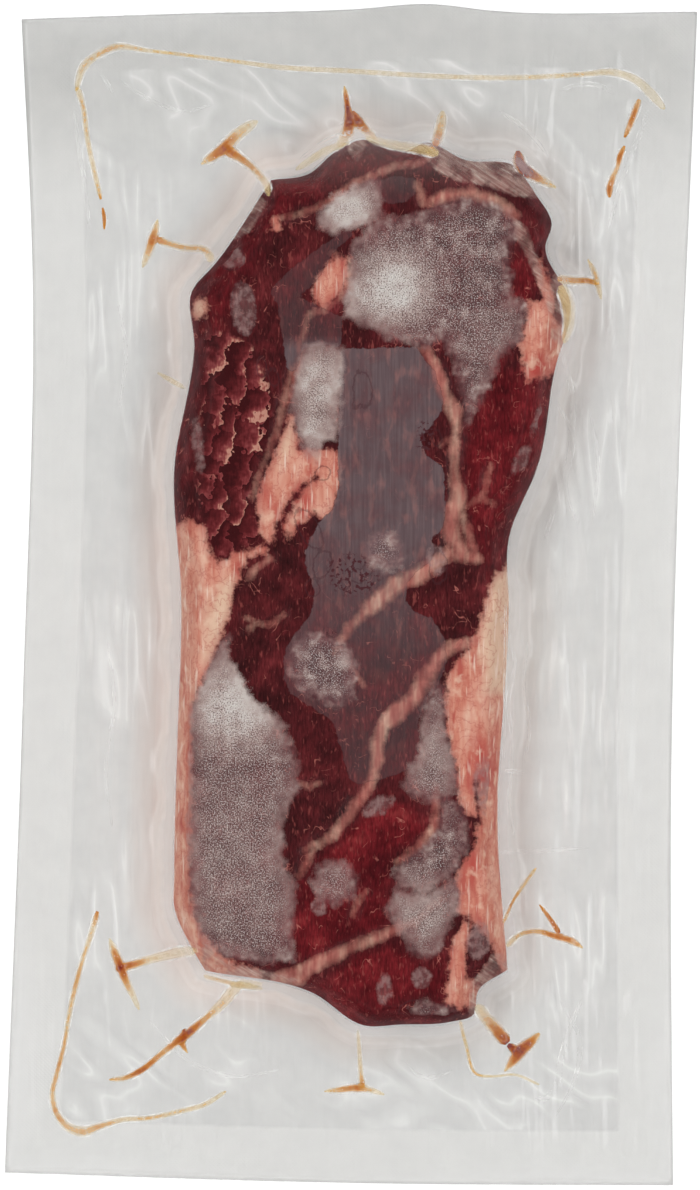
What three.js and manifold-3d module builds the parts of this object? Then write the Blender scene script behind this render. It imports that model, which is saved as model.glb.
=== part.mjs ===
// A raw beef steak sealed in a clear vacuum pack, lying on its flat web with the formed web up.
// Millimetres, +Z up. The origin is the middle of the pack's outline, on the surface it lies on.
import * as THREE from "three";
import { mergeVertices } from "three/addons/utils/BufferGeometryUtils.js";
import Module from "manifold-3d";

const wasm = await Module();
wasm.setup();

// Driving dimensions
const STEAK_THICK = 24; // at the wide end, where it is thickest
const STEAK_TAPER = 3; // how much thinner the narrow end is
const SWELL = 0.6; // slow rise and fall of its upper face
const WEB_THICK = 0.9; // both webs of the pack where they lie on each other
const WEB_SLACK = 0.25; // how much the loose film between steak and margin waves
const FLOOR_THICK = 0.5; // the flat web under the steak
const GAP = 0.3; // between the steak and the pack under it
const SIDE_GAP = 0.35; // between the steak and the pack around it
const COLLAR_RISE = 6.5; // how far up the steak's side the formed web lets go
const COLLAR_REACH = 9; // how far out the web takes to come down
const EDGE_LIFT = 3.2; // how far the stiff seal margin curls off the table
const SEAL_MARGIN = 17; // width of the welded margin
const FOLD_STEP = 8; // length of one facet of a fold
const FOLD_SIDES = 5;
const FOLD_SUNK = 0.25; // how deep a fold's foot sits in the webs
const FOLD_TIP = 0.3; // size of a fold at its ends, as a share of its middle
const STEPS_ACROSS = 26; // facets along the top and the bottom of an outline
const STEPS_ALONG = 47; // facets along its right and left

// Steak outline seen from above, four stretches that meet at its corners, clockwise from the upper left
const STEAK_OUTLINE = [
  [[-24, 124.4], [-12.9, 126.2], [-4.8, 132.8], [2.4, 136.4], [17.1, 133.2], [21.6, 135.5], [34.5, 130.4],
    [49.2, 128.6], [54.6, 121.7]],
  [[54.6, 121.7], [60.3, 110.3], [58.5, 105.5], [66, 86.9], [61.2, 67.4], [56.7, 40.4], [47.1, 14.9],
    [47.4, -1.7], [44.1, -72], [47.1, -112.7]],
  [[47.1, -112.7], [38.1, -119.3], [36.9, -126.2], [29.7, -128.4], [14.7, -129.2], [4.5, -129.6],
    [-11.7, -119.6], [-43.8, -113]],
  [[-43.8, -113], [-49.5, -103], [-52.9, -95], [-53.1, -84], [-52.2, -45], [-51, -1.7], [-53.1, 37.3],
    [-47.1, 74.9], [-47.7, 91.3], [-41.1, 98.9], [-24, 124.4]],
];
// Pack outline, four edges between its corners in the same order: cut film, drawn in a little at the sides
const PACK_OUTLINE = [
  [[-98.7, 172.4], [-45, 174.2], [0, 175.4], [23.7, 177.2], [43, 174.9], [103.8, 174.6]],
  [[103.8, 174.6], [102.6, 145], [98.4, 43.4], [96, -60], [96, -120], [96.5, -177.2]],
  [[96.5, -177.2], [0, -176.4], [-103.8, -173.2]],
  [[-103.8, -173.2], [-98.4, -31.6], [-95.4, 91.4], [-98.7, 172.4]],
];
// The line down the middle of the steak that its sides lean in to
const SPINE = [new THREE.Vector2(6, 88), new THREE.Vector2(-3, -80)];

// Fat seams that lie lower than the muscles beside them: points, half width and depth
const SEAMS = [
  { points: [[26, 72], [34, 48], [37, 22], [45, 10]], half: 4, depth: 1.3 },
  { points: [[38, 10], [22, -2], [-2, -20]], half: 3.5, depth: 1.1 },
  { points: [[38, -18], [18, -42], [2, -68], [-14, -82]], half: 4.5, depth: 1.4 },
  { points: [[-8, 62], [-20, 40], [-26, 14], [-36, -10]], half: 5, depth: 1.3 },
  { points: [[-26, -118], [-4, -110], [20, -98], [30, -78]], half: 4, depth: 1.2 },
  { points: [[-20, 122], [0, 116], [28, 118], [46, 106], [52, 84]], half: 4, depth: 1.4 },
  { points: [[26, -104], [33, -112], [36, -124]], half: 3, depth: 1.6 },
];

// Folds that the formed web gathers into outside the steak: points on the table, half width and height
const FOLDS = [
  { points: [[-26, 120], [-29, 127], [-38, 133.5]], half: 1.4, high: 1.7 }, // upper left stem
  { points: [[-44.5, 129.5], [-38, 133.5], [-29, 141.5]], half: 1.7, high: 1.9 }, // upper left bar
  { points: [[-41, 100], [-45, 102.5], [-57, 106]], half: 1.5, high: 1.7 }, // left stem
  { points: [[-62, 99.5], [-59.5, 106], [-58, 112]], half: 1.5, high: 1.8 }, // left bar
  { points: [[-49, 61.5], [-58, 66.5]], half: 1.4, high: 1.4 }, // left tick
  { points: [[4, 134], [1, 141], [-1.5, 151]], half: 3.6, high: 4.2 }, // top fold
  { points: [[25.5, 132], [26.5, 144]], half: 1.9, high: 2.4 }, // top tick
  { points: [[51, 131], [55, 124], [62, 121]], half: 2.1, high: 2.6 }, // upper right bar
  { points: [[63, 93.5], [72, 94.5], [74, 88.5]], half: 1.4, high: 1.8 }, // right stem
  { points: [[45.5, -76.8], [71.5, -76]], half: 1.3, high: 1.4 }, // lower right rib
  { points: [[45.5, -99], [50, -90], [56, -82]], half: 1.2, high: 1.4 }, // lower right spur
  { points: [[46, -102], [53, -100], [61, -101.5], [69.5, -106]], half: 1.5, high: 1.9 }, // lower right stem
  { points: [[37.5, -124], [43, -129], [48, -137]], half: 2.2, high: 2.6 }, // bottom right stem
  { points: [[46.5, -143], [50, -138], [56, -132]], half: 2, high: 2.3 }, // bottom right bar
  { points: [[1.5, -129], [2.5, -138], [2.5, -146]], half: 1.4, high: 1.8 }, // bottom stem
  { points: [[-8, -148.5], [1.5, -148], [10, -149.5]], half: 1.5, high: 1.8 }, // bottom bar
  { points: [[-46, -107], [-59, -110.5], [-68, -112]], half: 1.6, high: 2 }, // lower left stem
  { points: [[-72, -105], [-68.5, -113], [-63.5, -123.5]], half: 1.6, high: 2 }, // lower left bar
  { points: [[-32, -116.5], [-42, -126], [-62, -142], [-71, -145.5]], half: 1.8, high: 2.2 }, // bottom left
];
// Creases where the walls of the formed pocket have folded flat, along its rim
const RIM_CREASES = [
  { points: [[-83, 156], [-71, 164], [-20, 158.5], [25, 155.5], [78, 156.5], [94, 147]],
    half: 1.7, high: 1.5 }, // top
  { points: [[-82, 152], [-79, 134], [-73.5, 108]], half: 1.3, high: 1.3 }, // left
  { points: [[87, 148], [81.5, 132], [76, 117]], half: 1.6, high: 1.6 }, // right
  { points: [[-76, -95], [-84, -126], [-90, -153], [-82, -161.5], [-60, -157], [-38, -149]],
    half: 1.7, high: 1.6 }, // bottom left
  { points: [[71, -118], [64, -136], [61.5, -147], [54, -152]], half: 1.8, high: 1.7 }, // bottom right
];

const smoothstep = (x, low, high) => THREE.MathUtils.smoothstep(x, low, high);

// A smooth curve on the table through a list of [x, y]
function curveThrough(points) {
  return new THREE.CatmullRomCurve3(points.map(([x, y]) => new THREE.Vector3(x, y, 0)), false, "centripetal");
}

// Points along the four stretches of an outline, each stretch a smooth curve cut into equal steps
function outlinePoints(stretches) {
  return stretches.flatMap((points, i) => {
    const steps = i % 2 ? STEPS_ALONG : STEPS_ACROSS;
    return curveThrough(points).getSpacedPoints(steps).slice(0, -1).map((p) => new THREE.Vector2(p.x, p.y));
  });
}

// The outline moved sideways, outwards where the distance is positive. The outline runs clockwise.
function offsetOutline(points, distance) {
  return points.map((p, i) => {
    const before = points.at(i - 1);
    const after = points[(i + 1) % points.length];
    const along = after.clone().sub(before).normalize();
    return new THREE.Vector2(p.x - along.y * distance, p.y + along.x * distance);
  });
}

// The point of a line of points that is nearest to p
function nearestOnLine(line, p) {
  let best = line[0];
  for (let i = 0; i + 1 < line.length; i++) {
    const side = line[i + 1].clone().sub(line[i]);
    const share = THREE.MathUtils.clamp(p.clone().sub(line[i]).dot(side) / side.lengthSq(), 0, 1);
    const spot = line[i].clone().addScaledVector(side, share);
    if (spot.distanceTo(p) < best.distanceTo(p)) best = spot;
  }
  return best;
}

const toLine = (points) => points.map(([x, y]) => new THREE.Vector2(x, y));
const closed = (points) => [...points, points[0]];

// A closed solid through rings of equal length, with a cap on the first and the last. Each ring runs
// clockwise as seen from the last one. The last cap is flat, or a patch of points that fill the last ring.
function loft(rings, patch = null) {
  const count = rings[0].length;
  const position = [...rings.flat(), ...(patch ? patch.inside : [])].flatMap((p) => [p.x, p.y, p.z]);
  const index = [];
  for (let r = 0; r + 1 < rings.length; r++) {
    for (let i = 0; i < count; i++) {
      const a = r * count + i;
      const b = r * count + ((i + 1) % count);
      index.push(a, a + count, b, b, a + count, b + count);
    }
  }
  const last = (rings.length - 1) * count;
  index.push(...capTriangles(rings[0]).flat());
  const top = patch ? patch.triangles : capTriangles(rings.at(-1)).map(([a, b, c]) => [a, c, b]);
  index.push(...top.flat().map((i) => last + i));
  const geometry = new THREE.BufferGeometry();
  geometry.setAttribute("position", new THREE.Float32BufferAttribute(position, 3));
  geometry.setIndex(index);
  return geometry;
}

// Triangles that fill a ring, turned the way the ring itself runs, worked out in the plane it faces most
function capTriangles(ring) {
  const normal = ring.reduce((sum, p, i) => {
    const q = ring[(i + 1) % ring.length];
    return sum.add(p.clone().cross(q));
  }, new THREE.Vector3());
  const [u, v] = Math.abs(normal.z) >= Math.max(Math.abs(normal.x), Math.abs(normal.y)) ? ["x", "y"]
    : Math.abs(normal.x) > Math.abs(normal.y) ? ["y", "z"] : ["z", "x"];
  const flat = ring.map((p) => new THREE.Vector2(p[u], p[v]));
  const area = THREE.ShapeUtils.area(flat);
  return THREE.ShapeUtils.triangulateShape(flat, []).map(([a, b, c]) => {
    const turned = flat[b].clone().sub(flat[a]).cross(flat[c].clone().sub(flat[a]));
    return turned * area > 0 ? [a, b, c] : [a, c, b];
  });
}

// A grid of points that fills a ring of four stretches, blended from its opposite sides, with height(p)
// for z. Points of the ring come first in its numbering, and those inside it follow.
function fillPatch(ring, height) {
  const [nx, ny] = [STEPS_ACROSS, STEPS_ALONG];
  const rimIndex = (i, j) => { // i runs from left to right along the top, j from top to bottom
    if (j === 0) return i;
    if (i === nx) return nx + j;
    if (j === ny) return nx + ny + (nx - i);
    return i === 0 ? (2 * nx + 2 * ny - j) % ring.length : -1;
  };
  const at = (i, j) => ring[rimIndex(i, j)];
  const inside = [];
  const number = (i, j) => (rimIndex(i, j) >= 0 ? rimIndex(i, j) : ring.length + (j - 1) * (nx - 1) + i - 1);
  for (let j = 1; j < ny; j++) {
    for (let i = 1; i < nx; i++) {
      const [u, v] = [i / nx, j / ny];
      const spot = new THREE.Vector3()
        .addScaledVector(at(i, 0), 1 - v).addScaledVector(at(i, ny), v)
        .addScaledVector(at(0, j), 1 - u).addScaledVector(at(nx, j), u)
        .addScaledVector(at(0, 0), (u - 1) * (1 - v)).addScaledVector(at(nx, 0), -u * (1 - v))
        .addScaledVector(at(0, ny), (u - 1) * v).addScaledVector(at(nx, ny), -u * v);
      inside.push(spot.setZ(height(spot)));
    }
  }
  const triangles = [];
  for (let j = 0; j < ny; j++) {
    for (let i = 0; i < nx; i++) {
      const [a, b, c, d] = [number(i, j), number(i + 1, j), number(i + 1, j + 1), number(i, j + 1)];
      triangles.push([a, c, b], [a, d, c]);
    }
  }
  return { inside, triangles };
}

// A three.js geometry as a manifold-3d solid
function solidOf(geometry) {
  const bare = geometry.clone();
  for (const name of Object.keys(bare.attributes)) if (name !== "position") bare.deleteAttribute(name);
  const merged = mergeVertices(bare, 1e-4);
  return new wasm.Manifold(new wasm.Mesh({
    numProp: 3,
    vertProperties: merged.attributes.position.array,
    triVerts: new Uint32Array(merged.index.array),
  }));
}

// A manifold-3d solid as a three.js geometry
function geometryOf(solid) {
  const mesh = solid.getMesh();
  const geometry = new THREE.BufferGeometry();
  geometry.setAttribute("position", new THREE.Float32BufferAttribute(mesh.vertProperties, 3));
  geometry.setIndex(new THREE.Uint32BufferAttribute(mesh.triVerts, 1));
  geometry.computeVertexNormals();
  return geometry;
}

// Height of the steak's upper face: thinner towards the narrow end, with seams let in and a slow swell
function steakTop(p) {
  const taper = STEAK_TAPER * smoothstep(-p.y, -40, 120);
  const swell = SWELL * (Math.sin(p.x / 13 + 0.8) * Math.cos(p.y / 21) + 0.7 * Math.sin(p.y / 9 - p.x / 17));
  const seams = SEAMS.reduce((sum, seam) => {
    const away = nearestOnLine(toLine(seam.points), p).distanceTo(p);
    return sum + seam.depth * (1 - smoothstep(away, 0, seam.half));
  }, 0);
  return STEAK_THICK - taper + swell - seams;
}

// The steak: rings from its underside out to the rim and up the side, then a patch over the top
function steakGeometry(rim) {
  const base = FLOOR_THICK + GAP;
  const side = [ // share of the way in to the spine, share of the height up
    [0.06, 0], [0.015, 0.07], [0, 0.2], [0, 0.38], [0.018, 0.6], [0.05, 0.8], [0.1, 0.93], [0.18, 1],
  ];
  const rings = side.map(([inward, upward]) => rim.map((p) => {
    const spot = p.clone().lerp(nearestOnLine(SPINE, p), inward);
    return new THREE.Vector3(spot.x, spot.y, base + (steakTop(spot) - base) * upward);
  }));
  return loft(rings, fillPatch(rings.at(-1), (p) => steakTop(new THREE.Vector2(p.x, p.y))));
}

// How far the pack's film is off the table: the seal margin curls up, most at the corners and least midway
function filmLift(p, edge) {
  const fromEdge = nearestOnLine(edge, p).distanceTo(p);
  const wave = 0.5 + 0.28 * Math.sin(p.y / 27 + 0.6) + 0.22 * Math.cos(p.x / 24 + p.y / 60);
  return EDGE_LIFT * wave * (1 - smoothstep(fromEdge, 0, SEAL_MARGIN));
}

// How high the formed web stands beside the steak's side, coming down to the table over its reach
function collarHeight(p, mouth) {
  const share = THREE.MathUtils.clamp(1 - nearestOnLine(mouth, p).distanceTo(p) / COLLAR_REACH, 0, 1);
  return COLLAR_RISE * share * share;
}

// The pack before its folds: two webs out to the cut edge, tented up to the steak all round
function packBlank(mouth, edge) {
  const ring = (share, height) => mouth.map((inner, i) => {
    const p = inner.clone().lerp(edge[i], share);
    return new THREE.Vector3(p.x, p.y, height(p));
  });
  const lift = (p) => filmLift(p, closed(edge));
  const margin = [1, 0.9, 0.77, 0.62]; // shares of the way from the steak's side out to the cut edge
  const collar = [0.3, 0.15, 0.07, 0.025, 0];
  const under = [0, ...margin.toReversed()].map((share) => ring(share, lift));
  const over = [...margin, ...collar].map((share) => {
    const loose = WEB_SLACK * smoothstep(share, 0.1, 0.4) * (1 - smoothstep(share, 0.8, 1));
    return ring(share, (p) =>
      WEB_THICK + lift(p) + collarHeight(p, closed(mouth)) + loose * Math.sin(p.x / 7 + p.y / 11));
  });
  return solidOf(loft([...under, ...over]));
}

// A fold of film: a ridge with a rounded section, tapered to its ends, sunk a little in the webs it follows
function foldSolid({ points, half, high }, mouth, edge) {
  const curve = curveThrough(points);
  const stations = Math.max(4, Math.round(curve.getLength() / FOLD_STEP));
  const rings = curve.getSpacedPoints(stations).map((p, i) => {
    const along = curve.getTangentAt(i / stations);
    const across = new THREE.Vector3(-along.y, along.x, 0);
    const full = FOLD_TIP + (1 - FOLD_TIP) * Math.sqrt(Math.sin((Math.PI * (i + 0.35)) / (stations + 0.7)));
    const spot = new THREE.Vector2(p.x, p.y);
    const ground = WEB_THICK + filmLift(spot, closed(edge)) + collarHeight(spot, closed(mouth));
    return Array.from({ length: FOLD_SIDES }, (_, k) => {
      const turn = Math.PI / 2 - (2 * Math.PI * k) / FOLD_SIDES;
      const up = Math.max(high * full * Math.sin(turn), -FOLD_SUNK);
      return p.clone().addScaledVector(across, half * full * Math.cos(turn)).setZ(ground + up);
    });
  });
  return solidOf(loft(rings));
}

// The pocket that the steak fills, cut down to the flat web
function steakPocket(mouth) {
  const shape = new THREE.Shape(mouth);
  const pocket = new THREE.ExtrudeGeometry(shape, { depth: STEAK_THICK, bevelEnabled: false });
  return solidOf(pocket.translate(0, 0, FLOOR_THICK));
}

const steakRim = outlinePoints(STEAK_OUTLINE);
const packEdge = outlinePoints(PACK_OUTLINE);
const packMouth = offsetOutline(steakRim, SIDE_GAP);

const beef = new THREE.MeshStandardMaterial({ color: 0x6b1f20, roughness: 0.38, metalness: 0 });
const film = new THREE.MeshStandardMaterial({
  color: 0xdddcda, roughness: 0.22, metalness: 0, transparent: true, opacity: 0.55,
});

const steakShape = steakGeometry(steakRim);
steakShape.computeVertexNormals();
const steak = new THREE.Mesh(steakShape, beef);
steak.name = "steak";

const folds = [...FOLDS, ...RIM_CREASES].map((fold) => foldSolid(fold, packMouth, packEdge));
const packSolid = folds.reduce((sum, fold) => sum.add(fold), packBlank(packMouth, packEdge))
  .subtract(steakPocket(packMouth));
const pack = new THREE.Mesh(geometryOf(packSolid), film);
pack.name = "vacuum_pack";

const sealedSteak = new THREE.Group();
sealedSteak.add(pack, steak);

export default sealedSteak;
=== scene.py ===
# %% [markdown]
# # A raw beef steak in a vacuum pack
# A long boneless steak is sealed between two webs of clear film. The lower web is flat and lies on the
# table. The upper one was drawn down over the meat while the air was pumped out, and welded to the lower
# one all round, so it gathers into folds beside the steak, and red juice runs into those folds. The steak
# was frozen in the pack: frost grows wherever the film has let go of the meat.
#
# This lesson builds it in that order: the outlines, the meat, the film over it, the juice in the folds,
# and last the light. All sizes are in millimetres until the last step of each function.

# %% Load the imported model
import math

import bpy
import numpy as np
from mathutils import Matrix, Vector, kdtree, noise


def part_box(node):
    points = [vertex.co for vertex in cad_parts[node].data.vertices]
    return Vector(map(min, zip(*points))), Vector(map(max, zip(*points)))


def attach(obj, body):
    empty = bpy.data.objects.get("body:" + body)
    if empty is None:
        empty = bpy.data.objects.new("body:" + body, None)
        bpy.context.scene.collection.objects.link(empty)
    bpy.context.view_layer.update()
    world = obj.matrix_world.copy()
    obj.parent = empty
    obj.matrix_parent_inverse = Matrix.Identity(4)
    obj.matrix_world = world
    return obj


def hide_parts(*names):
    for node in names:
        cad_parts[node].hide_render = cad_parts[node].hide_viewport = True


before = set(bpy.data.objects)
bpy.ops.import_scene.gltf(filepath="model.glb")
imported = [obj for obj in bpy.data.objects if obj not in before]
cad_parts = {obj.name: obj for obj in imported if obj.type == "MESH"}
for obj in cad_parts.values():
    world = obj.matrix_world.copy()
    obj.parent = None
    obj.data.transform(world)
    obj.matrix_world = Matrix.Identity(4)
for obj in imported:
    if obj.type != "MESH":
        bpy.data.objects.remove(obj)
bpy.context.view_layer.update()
steak_low, steak_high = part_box("steak")
pack_low, pack_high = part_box("vacuum_pack")
MM = 0.001
print("steak", [round(v / MM, 1) for v in (*steak_low, *steak_high)])
print("pack", [round(v / MM, 1) for v in (*pack_low, *pack_high)])

# %% [markdown]
# ## Camera
# The photo looks straight down, with hardly any perspective. A long lens from 2.4 m gives that. The lens is
# worked out from the height of the picture at the table, so that one pixel of it is 0.3 mm.

# %% Camera
PIXEL = 0.3
PICTURE = (700, 1190)
CAMERA_HEIGHT = 2400
SENSOR = 36

camera_data = bpy.data.cameras.new("photo_camera")
camera_data.sensor_fit = "VERTICAL"
camera_data.sensor_height = SENSOR
camera_data.lens = SENSOR * CAMERA_HEIGHT / (PICTURE[1] * PIXEL)
camera_data.clip_end = 20
camera = bpy.data.objects.new("photo_camera", camera_data)
camera.location = (-0.3 * MM, -0.15 * MM, CAMERA_HEIGHT * MM)
bpy.context.scene.collection.objects.link(camera)
bpy.context.scene.camera = camera
print("lens", round(camera_data.lens, 1), "mm")

# %% [markdown]
# ## Outlines
# Both the steak and the pack have four sides that meet at corners. Each side is a short list of points, and
# a smooth line is drawn through them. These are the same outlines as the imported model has.

# %% Outlines of steak and pack
STEAK_OUTLINE = [
    [(-24, 124.4), (-12.9, 126.2), (-4.8, 132.8), (2.4, 136.4), (17.1, 133.2), (21.6, 135.5), (34.5, 130.4),
        (49.2, 128.6), (54.6, 121.7)],
    [(54.6, 121.7), (60.3, 110.3), (58.5, 105.5), (66, 86.9), (61.2, 67.4), (56.7, 40.4), (47.1, 14.9),
        (47.4, -1.7), (44.1, -72), (47.1, -112.7)],
    [(47.1, -112.7), (38.1, -119.3), (36.9, -126.2), (29.7, -128.4), (14.7, -129.2), (4.5, -129.6),
        (-11.7, -119.6), (-43.8, -113)],
    [(-43.8, -113), (-49.5, -103), (-52.9, -95), (-53.1, -84), (-52.2, -45), (-51, -1.7), (-53.1, 37.3),
        (-47.1, 74.9), (-47.7, 91.3), (-41.1, 98.9), (-24, 124.4)],
]
PACK_OUTLINE = [
    [(-98.7, 172.4), (-45, 174.2), (0, 175.4), (23.7, 177), (43, 174.9), (103.7, 174.6)],
    [(103.7, 174.6), (102.6, 145), (98.4, 43.4), (96, -60), (96, -120), (96.5, -177)],
    [(96.5, -177), (0, -176.4), (-103.7, -173.2)],
    [(-103.7, -173.2), (-98.4, -31.6), (-95.4, 91.4), (-98.7, 172.4)],
]
print("corners of the steak", [side[0] for side in STEAK_OUTLINE])

# %% Smooth lines, and points between four of them
def smooth_line(points, count):
    """Even steps along a smooth line through the points."""
    p = np.array(points, float)
    gap = np.linalg.norm(np.diff(p, axis=0), axis=1)
    knot = np.concatenate([[0], np.cumsum(gap)])
    slope = np.gradient(p, knot, axis=0)
    t = np.linspace(0, knot[-1], 30 * len(p))
    i = np.clip(np.searchsorted(knot, t, side="right") - 1, 0, len(gap) - 1)
    g = gap[i][:, None]
    s = (t - knot[i])[:, None] / g
    line = (1 + 2 * s) * (1 - s) ** 2 * p[i] + s * (1 - s) ** 2 * g * slope[i]
    line = line + s * s * (3 - 2 * s) * p[i + 1] + s * s * (s - 1) * g * slope[i + 1]
    walk = np.concatenate([[0], np.cumsum(np.linalg.norm(np.diff(line, axis=0), axis=1))])
    at = np.linspace(0, walk[-1], count)
    return np.column_stack([np.interp(at, walk, line[:, k]) for k in range(line.shape[1])])


def on_line(line, share):
    """Points at the given shares of the way along a line of even steps."""
    steps = np.linspace(0, 1, len(line))
    return np.column_stack([np.interp(share, steps, line[:, k]) for k in range(2)])


def between(top, right, bottom, left, u, v):
    """Points inside four sides, blended from opposite ones: u from left to right, v from top to bottom."""
    a, b, c, d = on_line(top, u), on_line(right, v), on_line(bottom, u), on_line(left, v)
    u, v = u[:, None], v[:, None]
    corners = (1 - u) * (1 - v) * top[0] + u * (1 - v) * top[-1]
    corners = corners + (1 - u) * v * bottom[0] + u * v * bottom[-1]
    return (1 - v) * a + v * c + (1 - u) * d + u * b - corners


def four_sides(outline):
    """Top and bottom of an outline from left to right, its left and right from top to bottom."""
    top, right, bottom, left = [smooth_line(side, 200) for side in outline]
    return top, right, bottom[::-1], left[::-1]


steak_sides = four_sides(STEAK_OUTLINE)
pack_sides = four_sides(PACK_OUTLINE)
steak_ring = np.vstack([steak_sides[0], steak_sides[1], steak_sides[2][::-1], steak_sides[3][::-1]])
pack_ring = np.vstack([pack_sides[0], pack_sides[1], pack_sides[2][::-1], pack_sides[3][::-1]])
print("steak", np.ptp(steak_ring, axis=0).round(1), "pack", np.ptp(pack_ring, axis=0).round(1))

# %% [markdown]
# ## Distances
# Most of the pattern on this object is areas with soft, broken edges: fat, frost, trapped air. Each is drawn
# as a rough ring of points. What the materials use is not the ring but how far inside it a point lies, in
# millimetres, so that noise can push the edge in and out at any fineness. A distance to a long ring is slow
# to work out for a hundred thousand points, so it is worked out once on a lattice and blended in between.

# %% Distances to lines and rings
def away_from(xy, line):
    """Distance of each point from a line of points."""
    best = np.full(len(xy), 1e9)
    for p, q in zip(line[:-1], line[1:]):
        side = q - p
        share = np.clip((xy - p) @ side / max(side @ side, 1e-9), 0, 1)
        best = np.minimum(best, np.linalg.norm(xy - p - share[:, None] * side, axis=1))
    return best


def depth_in(xy, ring):
    """How far each point lies inside a ring of points, and below zero outside it."""
    x, y = xy.T
    inside = np.zeros(len(xy), bool)
    for (x1, y1), (x2, y2) in zip(ring, np.roll(ring, -1, axis=0)):
        if y1 != y2:
            inside ^= ((y1 > y) != (y2 > y)) & (x < (x2 - x1) * (y - y1) / (y2 - y1) + x1)
    away = away_from(xy, np.vstack([ring, ring[:1]]))
    return np.where(inside, away, -away)


print("from the middle to the steak's edge", depth_in(np.zeros((1, 2)), steak_ring).round(1), "mm")

# %% A lattice of depths
def depth_map(ring, reach=8):
    """Depths on a lattice of 1 mm that reaches past the ring: its corner, and the rows of depths."""
    ring = np.array(ring, float)
    corner = np.floor(ring.min(axis=0)) - reach
    across, along = (np.ceil(ring.max(axis=0)) + reach - corner).astype(int) + 1
    x, y = np.meshgrid(np.arange(across), np.arange(along))
    xy = np.column_stack([x.ravel(), y.ravel()]) + corner
    return corner, depth_in(xy, ring).reshape(along, across)


def depth(xy, lattice):
    """Depth at each point, blended from the four nearest points of a lattice."""
    corner, rows = lattice
    at = np.clip(xy - corner, 0, np.array(rows.shape[::-1]) - 1.001)
    x, y = at.astype(int).T
    u, v = (at - at.astype(int)).T
    low = rows[y, x] * (1 - u) + rows[y, x + 1] * u
    high = rows[y + 1, x] * (1 - u) + rows[y + 1, x + 1] * u
    return low * (1 - v) + high * v


in_steak = depth_map(steak_ring[::3], 62)
in_pack = depth_map(pack_ring[::4])
probe = np.array([(0, 0), (80, 0)], float)
print("inside the steak", depth(probe, in_steak).round(1), "inside the pack", depth(probe, in_pack).round(1))

# %% [markdown]
# ## Muscles, fat and seams
# A steak like this is cut across several muscles. White to salmon fat fills the gaps between them: a strap
# down each side, a wedge in the middle, and thin seams that widen and narrow. Each area of fat is a ring,
# and each seam a line with its width at every point. The underside shows the same muscles.

# %% Where the fat is
FAT = {
    "left side": [(-57, 19.5), (-47.5, 22.5), (-43.5, 19.5), (-41.5, 11.5), (-39.5, 9.5), (-34.5, 12.5),
        (-26.5, 14), (-24.5, 13), (-30.5, 10.5), (-32.5, 7), (-34.5, 1.5), (-35.5, -5), (-39, -13),
        (-42, -21), (-45, -28.5), (-47, -33.5), (-47, -48), (-47, -61.5), (-47.5, -70.5), (-48, -82.5),
        (-47.5, -93), (-43.5, -101.5), (-38.5, -107), (-34.5, -110), (-27.5, -112), (-24, -122),
        (-28, -121.5), (-48.5, -114.5), (-52.5, -108), (-57.5, -97), (-58, -70), (-57.5, -50), (-57, -29),
        (-56, -0.5)],
    "middle wedge, left lobe": [(-17.5, 54), (-21.5, 45), (-23.5, 40), (-26.5, 33), (-28, 28),
        (-27.5, 20), (-26, 15), (-23.5, 15.5), (-22, 21), (-19, 27), (-15.5, 32), (-10, 35), (-8.5, 42),
        (-15.5, 43.5)],
    "middle wedge, right lobe": [(-15.5, 43.5), (-3.5, 43), (-2.5, 34), (-5, 26), (-7.5, 22), (-11.5, 24),
        (-16, 20.5), (-18.5, 17), (-20.5, 19.5), (-17, 26), (-14, 31.5), (-10, 35)],
    "upper right": [(52.5, 86.5), (56.5, 88), (60.5, 83), (68, 73.5), (66.5, 69), (56, 64), (52, 63.5),
        (50.5, 70.5), (50.5, 76), (52, 82)],
    "upper right stripe": [(54.5, 100), (56.5, 100), (58.5, 95.5), (60.5, 88.5), (60.5, 83), (57, 86),
        (55.5, 93)],
    "right side": [(53.5, 17.5), (52, 14), (41.5, 4.5), (38.5, -7), (36.5, -13.5), (32, -19.5),
        (28, -24.5), (28.5, -41), (30.5, -49), (32, -60), (34.5, -65.5), (37.5, -66), (37.5, -62),
        (36.5, -56), (38.5, -52), (42.5, -49), (50.5, -47), (51, -31), (52, -9.5), (52, 8)],
    "right rim, middle": [(37.5, -45), (50.5, -47), (50, -57.5), (49.5, -78.5), (41, -79), (39, -73),
        (38, -63.5), (37, -52.5)],
    "right side, low": [(38.5, -67), (49.5, -75.5), (50, -81.5), (51, -100), (52, -109.5), (47, -119),
        (41.5, -103.5), (35.5, -96), (32, -94.5), (31.5, -82.5), (37, -74.5), (37.5, -68.5)],
    "low strip": [(30.5, -102), (33.5, -97), (36, -99), (34.5, -103.5), (34.5, -113.5), (42.5, -122.5),
        (32.5, -123.5), (28, -121), (29, -110)],
    "pink spot by the frost": [(-12, 91), (-8.5, 96.5), (-5, 100), (-0.5, 100), (-1.5, 93), (-4, 88.5),
        (-9, 85)],
    "rim blob": [(-47, 87.5), (-44.5, 88.5), (-42.5, 86), (-43, 82.5), (-45.5, 82), (-47.5, 84)],
    "rim dot": [(-24, 111), (-22, 112), (-20.5, 109.5), (-21.5, 107.5), (-23.5, 108)],
}
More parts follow.
